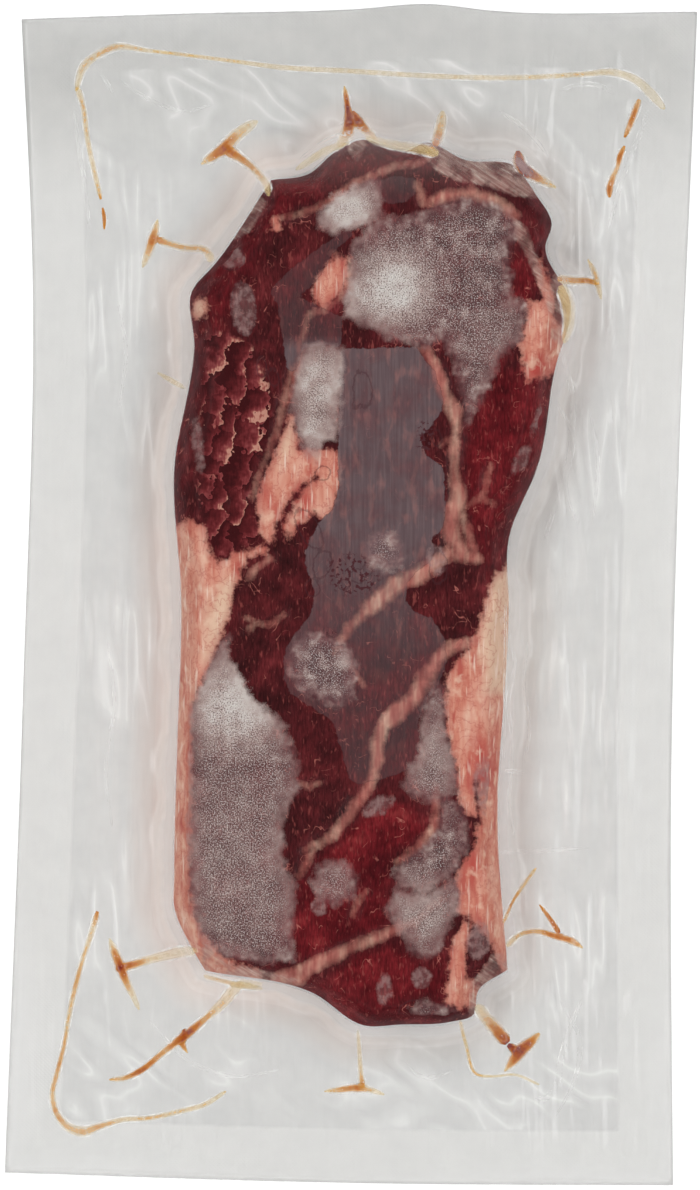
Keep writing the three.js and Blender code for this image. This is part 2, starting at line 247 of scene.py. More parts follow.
CREAM_FAT = {
    "left": [(-36, 5), (-33.5, 1.5), (-34, -6), (-37.5, -13), (-41, -21), (-43.5, -18), (-43, -7.5),
        (-41, -0.5)],
    "right": [(42.5, 10.5), (52, 14), (52.5, 15.5), (52, -15), (51, -31), (40.5, -28.5), (38.5, -16.5),
        (38.5, -7.5)],
    "blob": [(-47, 87.5), (-44.5, 88.5), (-42.5, 86), (-43, 82.5), (-45.5, 82), (-47.5, 84)],
    "wedge top": [(-17.5, 54), (-15.5, 51), (-18.5, 42), (-22.5, 37.5), (-21.5, 45)],
}
print(len(FAT), "areas of fat,", len(CREAM_FAT), "areas of cream on them")

# %% Where the seams are
SEAMS = {
    "right seam": ([(22, 73), (25, 67), (27.5, 59.5), (31, 53.5), (31.5, 48.5), (30.5, 43), (30.5, 34),
        (33, 28), (30.5, 25), (29.5, 18.5), (33, 12.5), (37.5, 10.5)], [2.2, 2.8, 3.6, 3.4, 1.8, 1.9, 2.6,
        3.4, 3.6, 4.4, 3.8, 2.0]),
    "right seam twin": ([(32.5, 25), (34.5, 19.5), (36.5, 13)], [1.2, 1.6, 1.4]),
    "upper diagonal": ([(37, 11), (29, 12), (23, 8), (19, 5.5), (11.5, 1.5), (4, -5), (-0.5, -10.5),
        (-5, -17)], [2.2, 3.4, 4.0, 3.8, 4.4, 3.4, 2.2, 1.0]),
    "lower diagonal": ([(36.5, -14), (30.5, -15.5), (26, -18.5), (23.5, -22), (22, -26), (18.5, -31),
        (14.5, -34), (10, -39.5), (8, -44), (8, -49), (6.5, -54), (4, -59), (-0.5, -65.5), (-5.5, -71.5),
        (-9.5, -75)], [2.2, 2.6, 3.4, 4.2, 4.6, 4.4, 4.2, 3.8, 3.4, 3.0, 2.8, 2.6, 2.2, 2.6, 1.0]),
    "lower diagonal end": ([(-11, -75.5), (-13, -79.5), (-15.5, -83.5)], [1.0, 1.6, 0.8]),
    "bottom": ([(-25, -117.5), (-18.5, -114), (-13.5, -111.5), (-7.5, -108.5), (1, -105), (11.5, -100.5),
        (19, -97), (26.5, -91)], [2.4, 5.0, 4.6, 3.2, 2.4, 2.2, 1.6, 1.0]),
    "round the frost": ([(-5.5, 101.5), (0, 98), (-1.5, 90), (-8, 84.5), (-13, 83), (-15, 72.5),
        (-17.5, 60), (-20.5, 54)], [0.8, 1.2, 1.0, 0.9, 0.8, 1.1, 0.9, 0.8]),
    "beside the muscle": ([(-17.5, 67), (-20, 57), (-22.5, 46.5), (-26.5, 37.5), (-29.5, 28.5)], [0.7,
        0.9, 0.8, 0.7, 0.6]),
    "side of the frost": ([(25, -57.5), (25.5, -63.5), (25, -69), (20, -75), (14, -79.5)], [1.0, 1.5, 1.3,
        1.4, 0.8]),
    "top": ([(-20.5, 112), (-11.5, 114), (-6.5, 117), (-0.5, 121.5), (7, 125), (13.5, 127.5), (19, 128),
        (23.5, 130.5)], [0.6, 0.9, 1.1, 1.2, 1.0, 1.2, 1.4, 0.9]),
    "top right": ([(20, 121.5), (22, 116.5), (27, 118), (35.5, 119.5), (44.5, 116), (49, 112.5)], [1.4,
        2.2, 2.6, 2.6, 2.4, 1.6]),
    "small left": ([(-30.5, 5), (-28, 8), (-23.5, 11)], [0.8, 1.0, 0.6]),
    "twig 1": ([(27, 44), (29, 46), (31.5, 47)], [0.5, 0.8, 0.7]),
    "twig 2": ([(34, 26.5), (38, 28.5), (40, 31), (40.5, 35.5), (41.5, 38.5)], [0.8, 1.0, 0.8, 0.7, 0.4]),
    "twig 3": ([(38.5, 28.5), (42.5, 27)], [0.8, 0.4]),
    "twig 4": ([(-31, -7), (-28.5, -8), (-24.5, -9), (-22, -7.5), (-20, -6)], [0.5, 0.7, 0.8, 0.6, 0.4]),
    "twig 5": ([(-30.5, -11), (-28.5, -8)], [0.5, 0.7]),
    "twig 6": ([(-13.5, -76), (-10, -74), (-6.5, -72.5)], [0.6, 1.0, 0.8]),
    "twig 7": ([(0.5, -95.5), (1.5, -92), (4.5, -88.5)], [0.5, 0.7, 0.4]),
    "twig 8": ([(-1.5, -19.5), (0.5, -22), (2, -25.5), (4, -27.5)], [0.4, 0.6, 0.8, 0.4]),
    "twig 9": ([(-14.5, -56.5), (-12.5, -57.5), (-9.5, -56)], [0.4, 0.7, 0.5]),
}
print(len(SEAMS), "seams and twigs")

# %% [markdown]
# ## Frost and trapped air
# Where the film touches wet meat it can't be seen. Where air got in, the meat looks greyish mauve behind a
# dry, faintly ribbed veil of film. In the coldest of those places frost has grown, fine grey-white crystals
# with the dark meat between them. Small round lenses of air are left here and there.

# %% Where air got in
AIR_POCKETS = {
    "middle": [(-3, 73), (19, 73.5), (24.5, 67), (27.5, 58), (26.5, 53), (23, 49.5), (20.5, 46.5),
        (22, 42), (27.5, 37.5), (28, 27), (27.5, 20), (23.5, 16.5), (25.5, 13), (22, 8.5), (17, 4.5),
        (16, -1.5), (18.5, -5), (24, -7), (28, -13.5), (28.5, -20), (26.5, -25.5), (23.5, -30), (20, -37),
        (20.5, -44), (19, -51), (15.5, -52.5), (10.5, -54.5), (6.5, -55.5), (2.5, -56.5), (-0.5, -55),
        (-2, -49), (-3.5, -44), (-4.5, -39.5), (-7, -36.5), (-11.5, -33.5), (-17.5, -30), (-20, -25.5),
        (-20, -20), (-19, -15), (-15.5, -10.5), (-11.5, -5), (-11, 2), (-13.5, 8.5), (-13.5, 13),
        (-10, 21), (-5.5, 25), (-3.5, 32.5), (-4, 43), (-3.5, 58.5)],
    "upper, blue grey": [(-24, 90), (-20.5, 94.5), (-16, 98), (-8, 104), (-0.5, 109), (0.5, 106.5),
        (-5.5, 101.5), (-8.5, 96), (-12, 91), (-18.5, 87), (-22.5, 87)],
    "over the dark muscle": [(-22, 88), (-15.5, 88.5), (-8.5, 85), (-2.5, 82.5), (-3, 73), (-10, 74.5),
        (-14.5, 72.5), (-16.5, 66), (-19, 67), (-20.5, 77)],
    "top grey": [(8.5, 123), (14.5, 124.5), (19, 123.5), (19.5, 119), (16, 116.5), (10.5, 116),
        (8.5, 117.5)],
}
print(len(AIR_POCKETS), "pockets of air")

# %% Where frost has grown
FROST = {
    "top left": [(-9.5, 113), (-5.5, 118.5), (1.5, 121.5), (8.5, 124), (9.5, 117.5), (10, 112.5),
        (4, 110), (-1, 108), (-6.5, 107), (-9.5, 109.5)],
    "top": [(-1, 102.5), (4, 108), (9.5, 112), (22, 113.5), (27, 116.5), (38, 118.5), (47, 114.5),
        (50, 109), (47.5, 103), (48, 88.5), (52.5, 86.5), (51, 76), (44.5, 70), (41, 62), (37, 53.5),
        (34.5, 49.5), (33, 57), (30.5, 67), (27, 75), (22, 73), (13, 75), (4, 79.5), (-2, 82.5),
        (-1.5, 90), (-0.5, 97)],
    "middle": [(-14, 73.5), (-9.5, 75), (-2, 74), (-3, 60), (-3.5, 52.5), (-4, 46), (-8.5, 46),
        (-9.5, 40), (-14, 40.5), (-16.5, 49.5), (-18.5, 55.5), (-16.5, 65)],
    "low left, bright": [(-35.5, -10.5), (-36.5, -18), (-32.5, -24.5), (-29, -31), (-24.5, -34),
        (-20.5, -38.5), (-18, -44), (-29, -49.5), (-38, -48.5), (-48.5, -47), (-48.5, -35), (-46.5, -30),
        (-44, -24.5), (-40, -16.5)],
    "low left": [(-48.5, -37.5), (-38, -38), (-29, -40), (-20, -39), (-15.5, -50), (-15.5, -56),
        (-17.5, -61.5), (-19.5, -65.5), (-20, -73), (-20.5, -77.5), (-17, -85.5), (-16, -91),
        (-17.5, -95), (-17, -102), (-16.5, -109), (-26.5, -110), (-38, -108), (-45.5, -103),
        (-47.5, -94.5), (-49, -79.5), (-49, -61.5)],
    "right, green grey": [(24.5, -27), (28, -26), (28.5, -40.5), (30.5, -49), (32, -58.5), (29, -61),
        (23, -62), (18.5, -60), (15.5, -56.5), (16, -53), (19, -50), (20.5, -44), (20.5, -37),
        (22, -31.5)],
    "right": [(28, -57), (34, -65.5), (35, -73), (32.5, -81), (27, -86), (22, -89.5), (14.5, -87.5),
        (12.5, -84), (14, -79.5), (20, -75.5), (25.5, -70), (26.5, -63.5)],
    "right, low": [(12.5, -88), (22, -89.5), (28, -86), (32, -83), (32.5, -91.5), (30, -99), (26, -106),
        (22, -109.5), (17, -105), (13.5, -99), (10.5, -94)],
    "disc": [(-5, -78.5), (0.5, -80.5), (2.5, -85.5), (0.5, -91), (-5, -93), (-10, -91), (-12, -85.5),
        (-10, -80.5)],
    "tip": [(17.5, -122.5), (20.5, -120.5), (26.5, -121.5), (33.5, -124.5), (32.5, -127.5),
        (26.5, -127.5), (20.5, -127), (17.5, -125)],
    "middle, sparse": [(3.5, 15), (7, 19), (13, 18), (16, 13.5), (15.5, 8.5), (10, 7), (5, 8.5)],
    "low middle, sparse": [(-17.5, -13.5), (-12.5, -11), (-5, -12), (0.5, -16.5), (2.5, -23),
        (0.5, -31.5), (-4, -33.5), (-10, -31.5), (-16, -28.5), (-19, -22)],
}
print(len(FROST), "patches of frost")

# %% Where the frost is thick
THICK_FROST = {  # middle, radius and how thick
    "top": (13, 91.5, 18, 0.85),
    "top, left of it": (2.5, 88.5, 12, 0.6),
    "top left": (-1, 114.5, 14, 0.75),
    "middle": (-8.5, 63, 18, 0.6),
    "middle, low": (-10, 49.5, 12, 0.55),
    "low left": (-34, -33, 23, 0.75),
    "low left, body": (-33.5, -76.5, 45, 0.2),
    "low middle": (-2.5, -20, 4, 0.5),
    "right, low": (22, -93, 17, 0.38),
    "right": (23.5, -46.5, 18, 0.35),
    "disc": (-5, -85.5, 10, 0.1),
    "above the right muscle": (41.5, 76.5, 15, 0.15),
}
print(len(THICK_FROST), "thick places")

# %% Lenses of air, bubbles, and bare wet meat
LENSES = [  # middle, half width, half height, turn
    (-35.5, 100.5, 3.9, 3.3, -0.6),
    (-32, 85, 3.6, 7.5, 0.1),
    (-45.5, 45, 1.5, 7.2, 0.1),
    (8, -63, 4.8, 2.7, 0.5),
    (10, -117.5, 2.1, 4.2, 0),
    (21, -114, 3, 3, 0),
    (40.5, -57, 4.2, 8.4, 0.1),
    (38, -103, 3.6, 5.4, -0.2),
    (-9.5, -93, 2.4, 2.4, 0),
    (25.5, 10.5, 2.7, 4.2, 0.2),
    (57, 55, 1.5, 6.6, -0.4),
    (50.5, 40, 1.8, 4.2, -0.5),
]
BUBBLES = [  # thin rings of wet meat round small bubbles: middle, half width, half height, turn
    (3.5, 61, 2.7, 5.4, 0.15),
    (2, 59, 1.2, 3.6, -0.2),
    (26, 8, 2.7, 4.8, 0),
    (-12.5, 19.5, 3, 6.6, 0.5),
    (-8.5, 9, 2.7, 4.2, -0.3),
    (-11.5, 2, 2.1, 2.7, 0.2),
    (2, 5.5, 2.4, 2.1, 0),
    (-2, 3, 1.8, 1.5, 0.4),
    (5, 7.5, 1.5, 1.8, 0.1),
    (-8.5, 36, 2.4, 2.1, 0.3),
    (-14, -18, 3.6, 5.4, 0.3),
    (-10, -28.5, 2.7, 2.1, 0.1),
    (18, -123.5, 4.2, 2.7, 0.4),
    (25.5, 46.5, 1.5, 2.4, 0.1),
    (-35.5, 100, 3.9, 3.6, 0.2),
    (-32, 85, 3.6, 7.8, 0.1),
    (-23, 64.5, 1.5, 2.7, 0.2),
    (-26.5, 67.5, 1.5, 3, 0.1),
]
WET_DOTS = {
    "dots": [(-6.5, 10.5), (0.5, 12.5), (7.5, 10), (8.5, 4.5), (6.5, 1), (-0.5, -0.5), (-5, 1.5),
        (-7, 6)],
    "dots by the disc": [(-16.5, -13.5), (-6.5, -10), (-1.5, -13.5), (0.5, -19.5), (2.5, -28.5),
        (-3.5, -33), (-12.5, -31.5), (-17.5, -25.5)],
    "dots, upper right": [(20.5, 52.5), (24.5, 51), (25.5, 46.5), (23, 41.5), (19.5, 44.5)],
}
BARE = [  # wet meat in the middle of a pocket
    [(-53.5, 37.5), (-50, 58.5), (-45.5, 63), (-43.5, 49.5), (-45.5, 28.5), (-47.5, 10.5), (-53.5, 10.5)],
    [(18.5, 4.5), (26.5, 8.5), (37, 10.5), (41, 8.5), (38.5, -4.5), (36.5, -13.5), (31, -15),
        (28.5, -13.5), (26.5, -8), (20.5, -4.5), (17.5, -1)],
]
print(len(LENSES), "lenses,", len(BUBBLES), "bubbles,", len(BARE), "bare places")

# %% [markdown]
# ## Muscle that differs
# The muscle on the left is coarse, with pink connective tissue between its dark bundles. Others are a
# brighter red because a little oxygen reached them.

# %% Where the muscle differs
COARSE = [(-43, 78), (-37, 78), (-30.5, 74.5), (-26.5, 67), (-23.5, 58.5), (-23.5, 46.5), (-28, 37.5),
        (-30.5, 28.5), (-26.5, 16.5), (-33.5, 13), (-38.5, 10), (-41.5, 14), (-44, 21), (-45.5, 34.5),
        (-44.5, 52.5), (-44, 67)]
BRIGHT_RED = {
    "right muscle": [(34.5, 47.5), (37, 53.5), (44.5, 69), (51, 63), (65.5, 62.5), (65, 60), (63.5, 50),
        (59.5, 33), (55.5, 23.5), (52.5, 15), (41, 10.5), (38, 10.5), (34, 16.5), (33.5, 27), (32, 37.5)],
    "top rim": [(-31, 123), (-16.5, 130.5), (-4.5, 138.5), (9, 140), (15, 137.5), (14.5, 126),
        (-0.5, 124), (-9.5, 118.5), (-20, 112), (-26.5, 106.5)],
    "left rim": [(-51, 95), (-45.5, 101.5), (-38, 112), (-26.5, 106.5), (-26.5, 100), (-34.5, 91),
        (-38.5, 79), (-52, 77)],
    "bottom": [(-8, -117), (-2, -108.5), (11.5, -103), (17.5, -106.5), (22, -111), (26.5, -109),
        (28.5, -114), (26.5, -121), (16, -121.5), (15, -134), (1, -133.5)],
    "low middle": [(-15.5, -82.5), (-6.5, -75), (2.5, -66), (6.5, -58.5), (14.5, -61.5), (20.5, -66),
        (23.5, -69), (17.5, -75), (11.5, -80), (10, -93), (13.5, -100.5), (-0.5, -105), (-15.5, -111),
        (-17, -100.5)],
    "rim low left": [(-49.5, -79.5), (-47, -80), (-45.5, -95), (-43.5, -103), (-45.5, -102),
        (-49.5, -93)],
    "stripe": [(48.5, 101), (53.5, 103), (55.5, 91.5), (52, 87), (48, 88.5)],
}
# whitish flaps over the rim: silver skin, and loose film whose shine is a painted highlight
SILVER_SKIN_AND_PAINTED_FILM_SHINE = {  # flaps of pale membrane and loose film, folded over the rim
    "flap, top": [(16.5, 138.5), (18.5, 139.5), (27.5, 138.5), (36, 135.5), (44.5, 134), (55.5, 129),
        (60, 122), (62.5, 117), (62, 118), (48.5, 118.5), (40.5, 121.5), (32, 123), (26.5, 125),
        (22, 130)],
    "flap, top left": [(-2, 140), (8, 140.5), (11.5, 139.5), (7, 140.5), (2, 129), (-0.5, 131)],
    "flap, corner": [(45.5, 134), (48.5, 133.5), (56.5, 127.5), (60, 122), (49.5, 122.5)],
    "flap, right rim": [(48.5, 112), (52, 109), (55.5, 100), (59, 89.5), (61.5, 83), (59, 83.5),
        (55.5, 92), (52, 101), (48.5, 106.5)],
    "flap, right": [(65, 102.5), (68, 95.5), (70.5, 83.5), (67.5, 72), (59, 76.5), (60.5, 85), (59, 92)],
    "flap, left corner": [(-52, 93.5), (-45.5, 101.5), (-38, 112), (-31, 123), (-25, 116.5),
        (-30.5, 107.5), (-44, 103.5), (-49.5, 97)],
    "flap, bottom right": [(42.5, -106.5), (52, -109.5), (46, -120), (42.5, -122), (38.5, -131),
        (35.5, -132), (35.5, -117)],
    "flap, bottom left": [(-45, -118), (-28, -121.5), (-15.5, -115), (-26.5, -112), (-37.5, -109.5),
        (-44, -103.5)],
}
RED_STAINS = [  # blood in the fat: middle, half width, half height, turn
    (56, 67, 4.8, 3, 0.4),
    (39.5, -51, 4.2, 9.6, 0.1),
    (-14, 28.5, 2.4, 4.2, 0.4),
    (35.5, -79.5, 2.4, 4.8, 0.5),
    (-25, 28.5, 1.8, 4.8, 0.5),
]
print(len(BRIGHT_RED), "areas of brighter red")

# %% [markdown]
# ## The steak's form
# The steak is a flat slab with a rounded rim, a little thinner at its narrow end. It could be sculpted from
# a ball, but a grid is better here: its rows follow the outline, so the rim stays clean, and every point
# keeps the place that the pattern needs. The grid is laid inside the outline at the level of the rim, pulled
# down for the sides and the underside, and its upper face is then divided finer and raised.

# %% Smooth steps and smooth noise
def ease(value, low, high):
    """0 below low, 1 above high, and a smooth rise between them."""
    share = np.clip((value - low) / (high - low), 0, 1)
    return share * share * (3 - 2 * share)


def wander(xy, size_x, size_y, seed):
    """Smooth noise from -1 to 1 at each point, with lumps of the given size in millimetres."""
    return np.array([noise.noise(Vector((x / size_x, y / size_y, seed))) for x, y in xy])


print("a smooth step at 1/4, 1/2 and 3/4:", ease(np.array([0.25, 0.5, 0.75]), 0, 1).round(2))

# %% How deep a point lies in a seam
def seam_depth(xy):
    """How far each point lies inside a seam of fat."""
    best = np.full(len(xy), -60.0)
    swell = 0.85 + 0.7 * wander(xy, 5, 8, 51)
    for points, widths in SEAMS.values():
        line = np.array(points, float)
        for p, q, wide, next_wide in zip(line[:-1], line[1:], widths[:-1], widths[1:]):
            side = q - p
            share = np.clip((xy - p) @ side / (side @ side), 0, 1)
            half = (wide + (next_wide - wide) * share) / 2 * swell
            away = np.linalg.norm(xy - p - share[:, None] * side, axis=1)
            # a round ridge, because a sharp one would look beaded on a grid of 1 mm
            best = np.maximum(best, half + 0.55 - np.hypot(away, 1))
    return best


print("in the bottom seam:", seam_depth(np.array([SEAMS["bottom"][0][3]])).round(2), "mm deep")

# %% The steak's height
BASE = pack_low.z / MM + 0.9  # on the lower web
TOP = 23.4
TAPER = 3
RIM_ROUND = 9
RIM_LEVEL = 0.38


in_coarse = depth_map(COARSE)


def flat_top(xy):
    """Height of the steak's upper face before its rim is rounded."""
    x, y = xy.T
    swell = 0.6 * (np.sin(x / 13 + 0.8) * np.cos(y / 21) + 0.7 * np.sin(y / 9 - x / 17))
    return TOP - TAPER * ease(-y, -40, 120) + swell


def rounded(inside):
    """Share of the full height at a depth inside the rim."""
    return RIM_LEVEL + (1 - RIM_LEVEL) * (1 - (1 - np.clip(inside / RIM_ROUND, 0, 1)) ** 2.6)


def steak_height(xy):
    """Height of the meat's upper face, with its seams let in and its coarse muscle in lumps."""
    lumps = 0.35 * wander(xy, 9, 14, 3) + 0.15 * wander(xy, 3, 4, 5)
    coarse = ease(depth(xy, in_coarse), -2, 3)
    seams = 0.8 * ease(seam_depth(xy), -2.5, 1)
    top = flat_top(xy) + lumps - seams - coarse * np.abs(wander(xy, 5, 7, 9)) * 0.6
    shoulder = 1.6 * wander(xy, 8, 8, 15) + 0.8 * wander(xy, 3, 3, 16)
    return BASE + (top - BASE) * rounded(depth(xy, in_steak) + shoulder * ease(depth(xy, in_steak), 0, 3))


print("height in the middle", steak_height(np.array([(0.0, 0.0)])).round(2))

# %% [markdown]
# ## Small tools
# Six helpers serve every piece, and each is written in the cell that needs it first. One lays a grid to
# start from, one reads the points of a mesh in millimetres and one writes them. One picks faces by a test
# on their middles, with all else let go, because an operator works on whatever is picked. One turns the
# faces outwards at the end, and one keeps a number at every point, for the materials to read.

# %% Lay the meat's grid inside the outline
def lay_grid(name, across, along):
    """A grid of faces, from -1 to 1 both ways, as the only picked object."""
    if bpy.context.object and bpy.context.object.mode == "EDIT":
        bpy.ops.object.mode_set(mode="OBJECT")
    bpy.ops.object.select_all(action="DESELECT")
    bpy.ops.mesh.primitive_grid_add(x_subdivisions=across, y_subdivisions=along, size=2)
    piece = bpy.context.object
    piece.name = name
    piece.data.name = name
    return piece


def points_of(piece):
    flat = np.zeros(len(piece.data.vertices) * 3)
    piece.data.vertices.foreach_get("co", flat)
    return flat.reshape(-1, 3) / MM


def move_points(piece, points):
    piece.data.vertices.foreach_set("co", (points * MM).ravel())
    piece.data.update()


meat = lay_grid("steak_meat", 80, 176)
grid = points_of(meat) * MM
u, v = (grid[:, 0] + 1) / 2, (1 - grid[:, 1]) / 2
u = u - 0.4 * np.sin(2 * np.pi * u) / (2 * np.pi)  # closer rows near the rim
v = v - 0.6 * np.sin(2 * np.pi * v) / (2 * np.pi)
UNDER_FILM = 0.994  # the meat's outline is this much smaller than the film's
flat = between(*steak_sides, u, v) * UNDER_FILM
rim_level = BASE + (TOP - BASE) * RIM_LEVEL
move_points(meat, np.column_stack([flat, np.full(len(flat), rim_level)]))
print(len(flat), "points, rim at", round(rim_level, 1), "mm")

# %% Pull the sides and the underside down
def pick_faces(piece, test):
    """Edit mode with only those faces picked whose middle passes the test."""
    if piece.mode == "EDIT":
        bpy.ops.object.mode_set(mode="OBJECT")
    bpy.ops.object.select_all(action="DESELECT")
    piece.select_set(True)
    bpy.context.view_layer.objects.active = piece
    middles = np.zeros(len(piece.data.polygons) * 3)
    piece.data.polygons.foreach_get("center", middles)
    for part in (piece.data.vertices, piece.data.edges):
        part.foreach_set("select", np.zeros(len(part), bool))
    piece.data.polygons.foreach_set("select", test(middles.reshape(-1, 3) / MM))
    bpy.ops.object.mode_set(mode="EDIT")
    bpy.ops.mesh.select_mode(type="FACE")


SIDE_STEPS = [(4.6, 1), (2.2, 0.985), (1.0, 0.97)]  # how far each step drops, and how much it draws in
UNDERSIDE_SIZE = 0.955
STEAK_CENTRE = (0.004, 0.004, 0)
left_to_drop = rim_level - BASE - sum(drop for drop, size in SIDE_STEPS)
SIDE_STEPS.append((left_to_drop, UNDERSIDE_SIZE))
pick_faces(meat, lambda middles: np.ones(len(middles), bool))
for drop, size in SIDE_STEPS:
    bpy.ops.mesh.extrude_region_move(TRANSFORM_OT_translate={"value": (0, 0, -drop * MM)})
    bpy.ops.transform.resize(value=(size, size, 1), center_override=STEAK_CENTRE)
bpy.ops.object.mode_set(mode="OBJECT")
print("underside at", points_of(meat)[:, 2].min().round(2), "mm")

# %% Divide the upper face and raise it
def face_out(piece):
    """Turns every face outwards and shades the piece smooth."""
    pick_faces(piece, lambda middles: np.ones(len(middles), bool))
    bpy.ops.mesh.normals_make_consistent(inside=False)
    bpy.ops.object.mode_set(mode="OBJECT")
    bpy.ops.object.shade_smooth()
    piece.select_set(False)


NEARLY = 0.01  # to tell a level from anything below it
pick_faces(meat, lambda middles: middles[:, 2] > rim_level - NEARLY)
bpy.ops.mesh.subdivide(number_cuts=1)
bpy.ops.object.mode_set(mode="OBJECT")
points = points_of(meat)
upper = points[:, 2] > rim_level - NEARLY
points[upper, 2] = steak_height(points[upper, :2])
move_points(meat, points)
face_out(meat)
print(len(meat.data.polygons), "faces, highest", points[:, 2].max().round(2), "mm")

# %% [markdown]
# ## Keep the pattern on the meat
# Every area becomes one number at every point: how deep inside it the point lies. Frost and trapped air
# belong to the upper face alone, so they are pushed back on the sides.

# %% Pattern numbers on the meat
def keep_number(piece, name, values):
    layer = piece.data.attributes.new(name, "FLOAT", "POINT")
    layer.data.foreach_set("value", np.asarray(values, np.float32))


def deepest(xy, rings):
    return np.max([depth(xy, depth_map(ring)) for ring in rings], axis=0)


def lens_depth(xy, lenses):
    best = np.full(len(xy), -60.0)
    for x, y, half_wide, half_high, turn in lenses:
        away = xy - (x, y)
        along = away @ (np.cos(turn), np.sin(turn)) / half_wide
        across = away @ (-np.sin(turn), np.cos(turn)) / half_high
        best = np.maximum(best, (1 - np.hypot(along, across)) * min(half_wide, half_high))
    return best


xy = points_of(meat)[:, :2]
SIDE_ENDS, TOP_STARTS = 15, 19  # heights between which the side turns into the upper face
PUSHED_BACK = 8
side = PUSHED_BACK * (1 - ease(points_of(meat)[:, 2], SIDE_ENDS, TOP_STARTS))
thick = np.zeros(len(xy))
for x, y, size, most in THICK_FROST.values():
    thick = np.maximum(thick, most * ease(1 - np.linalg.norm(xy - (x, y), axis=1) / size, 0, 0.9))
keep_number(meat, "fat", deepest(xy, FAT.values()))
keep_number(meat, "cream", deepest(xy, CREAM_FAT.values()))
keep_number(meat, "seam", seam_depth(xy))
keep_number(meat, "pocket", np.minimum(deepest(xy, AIR_POCKETS.values()), -deepest(xy, BARE)) - side)
keep_number(meat, "frost", deepest(xy, FROST.values()) - side)
keep_number(meat, "thick", thick)
keep_number(meat, "lens", lens_depth(xy, LENSES) - side)
keep_number(meat, "bubble", lens_depth(xy, BUBBLES) - side)
keep_number(meat, "dots", deepest(xy, WET_DOTS.values()) - side)
keep_number(meat, "coarse", depth(xy, in_coarse))
keep_number(meat, "bright", deepest(xy, BRIGHT_RED.values()))
keep_number(meat, "skin", deepest(xy, SILVER_SKIN_AND_PAINTED_FILM_SHINE.values()))
keep_number(meat, "stain", lens_depth(xy, RED_STAINS))
keep_number(meat, "rim", depth(xy, in_steak))
print("numbers kept:", [a.name for a in meat.data.attributes if a.data_type == "FLOAT"])

# %% [markdown]
# ## The film
# Two webs of clear film, about a tenth of a millimetre each. Over the meat the upper web lies skin tight.
# Beside the steak it comes down steeply and meets the lower web, and out to the cut edge the two lie on each
# other, with long shallow wrinkles. The outer margin is welded, pressed with a fine lattice, and curls up a
# little. A cloth simulation would need the suction too, so the film is laid like the meat: a grid whose
# middle follows the steak's outline and whose border follows the pack's.

# %% The margin and the wrinkles
MARGIN = 17
CURL = 3.2


def curl(xy):
    """How far the stiff margin has lifted off the table."""
    x, y = xy.T
    wave = 0.5 + 0.28 * np.sin(y / 27 + 0.6) + 0.22 * np.cos(x / 24 + y / 60)
    return CURL * wave * (1 - ease(depth(xy, in_pack), 0, MARGIN))


def wrinkles(xy):
    """Long shallow wrinkles in the loose film, which run along the pack, strongest on its right."""
    x, y = xy.T
    loose = ease(-depth(xy, in_steak), 3, 10) * ease(depth(xy, in_pack), 6, 14)
    strong = 0.45 + 0.75 * ease(np.abs(x), 48, 60) * (0.7 + 0.3 * np.sign(x))
    crests = (1 - np.abs(wander(xy, 6, 60, 11))) ** 6 + 0.7 * (1 - np.abs(wander(xy, 4, 30, 17))) ** 6
    return loose * strong * (0.7 * crests + 0.35 * wander(xy, 12, 60, 21))


print("the margin lifts by up to", curl(pack_ring).max().round(1), "mm")

# %% The film's height
FLANGE = 0.55  # the two webs on each other
CLOSE = 0.3  # from the meat to the film
TENT = 7.5


def nearest_of(xy, line):
    """Index of the nearest of a line's points."""
    near = kdtree.KDTree(len(line))
    for i, (x, y) in enumerate(line):
        near.insert((x, y, 0), i)
    near.balance()
    return [near.find((x, y, 0))[1] for x, y in xy]


def gathers(xy):
    """Height and reach of the gathers beside the steak, which run straight out from it."""
    root = steak_ring[nearest_of(xy, steak_ring)]
    fade = np.exp(np.minimum(depth(xy, in_steak), 0) / 6)
    height = fade * (0.7 * wander(root, 6, 6, 41) + 0.5 * wander(root, 2.5, 2.5, 42))
    return height, 1 + 0.6 * wander(root, 11, 11, 43)


def film_height(xy):
    """Height of the upper web: skin tight on the meat, tented beside it, flat outside."""
    inside = depth(xy, in_steak)
    skin = BASE + (flat_top(xy) + CLOSE + 0.3 - BASE) * rounded(inside + 1)
    gather, reach = gathers(xy)
    tent = np.clip(1 + (inside + 1) / (6 * reach), 0, 1) ** 2.2
    foot = FLANGE + (TENT + 1) * tent + wrinkles(xy) + curl(xy)
    foot = np.maximum(foot + gather * (inside < 0), FLANGE + curl(xy) - 0.1)
    share = ease(inside, -1.6, -0.6)
    return foot * (1 - share) + np.maximum(skin, foot) * share


print("film over the middle", film_height(np.array([(0.0, 0.0), (80.0, 0.0)])).round(2))

# %% Lay the film's grid, nine blocks round the steak
SPLITS = {"top": (0.29, 0.79), "bottom": (0.243, 0.793), "left": (0.123, 0.846), "right": (0.1325, 0.838)}
BAND, TALL_BAND = 20, 19
ACROSS, ALONG = 52, 108
SIDE_POINTS = 60  # on each side of a block


def straight(start, end):
    return start + (end - start) * np.linspace(0, 1, SIDE_POINTS)[:, None]


def in_three(line, splits):
    return [on_line(line, np.linspace(a, b, SIDE_POINTS)) for a, b in zip((0, *splits), (*splits, 1))]


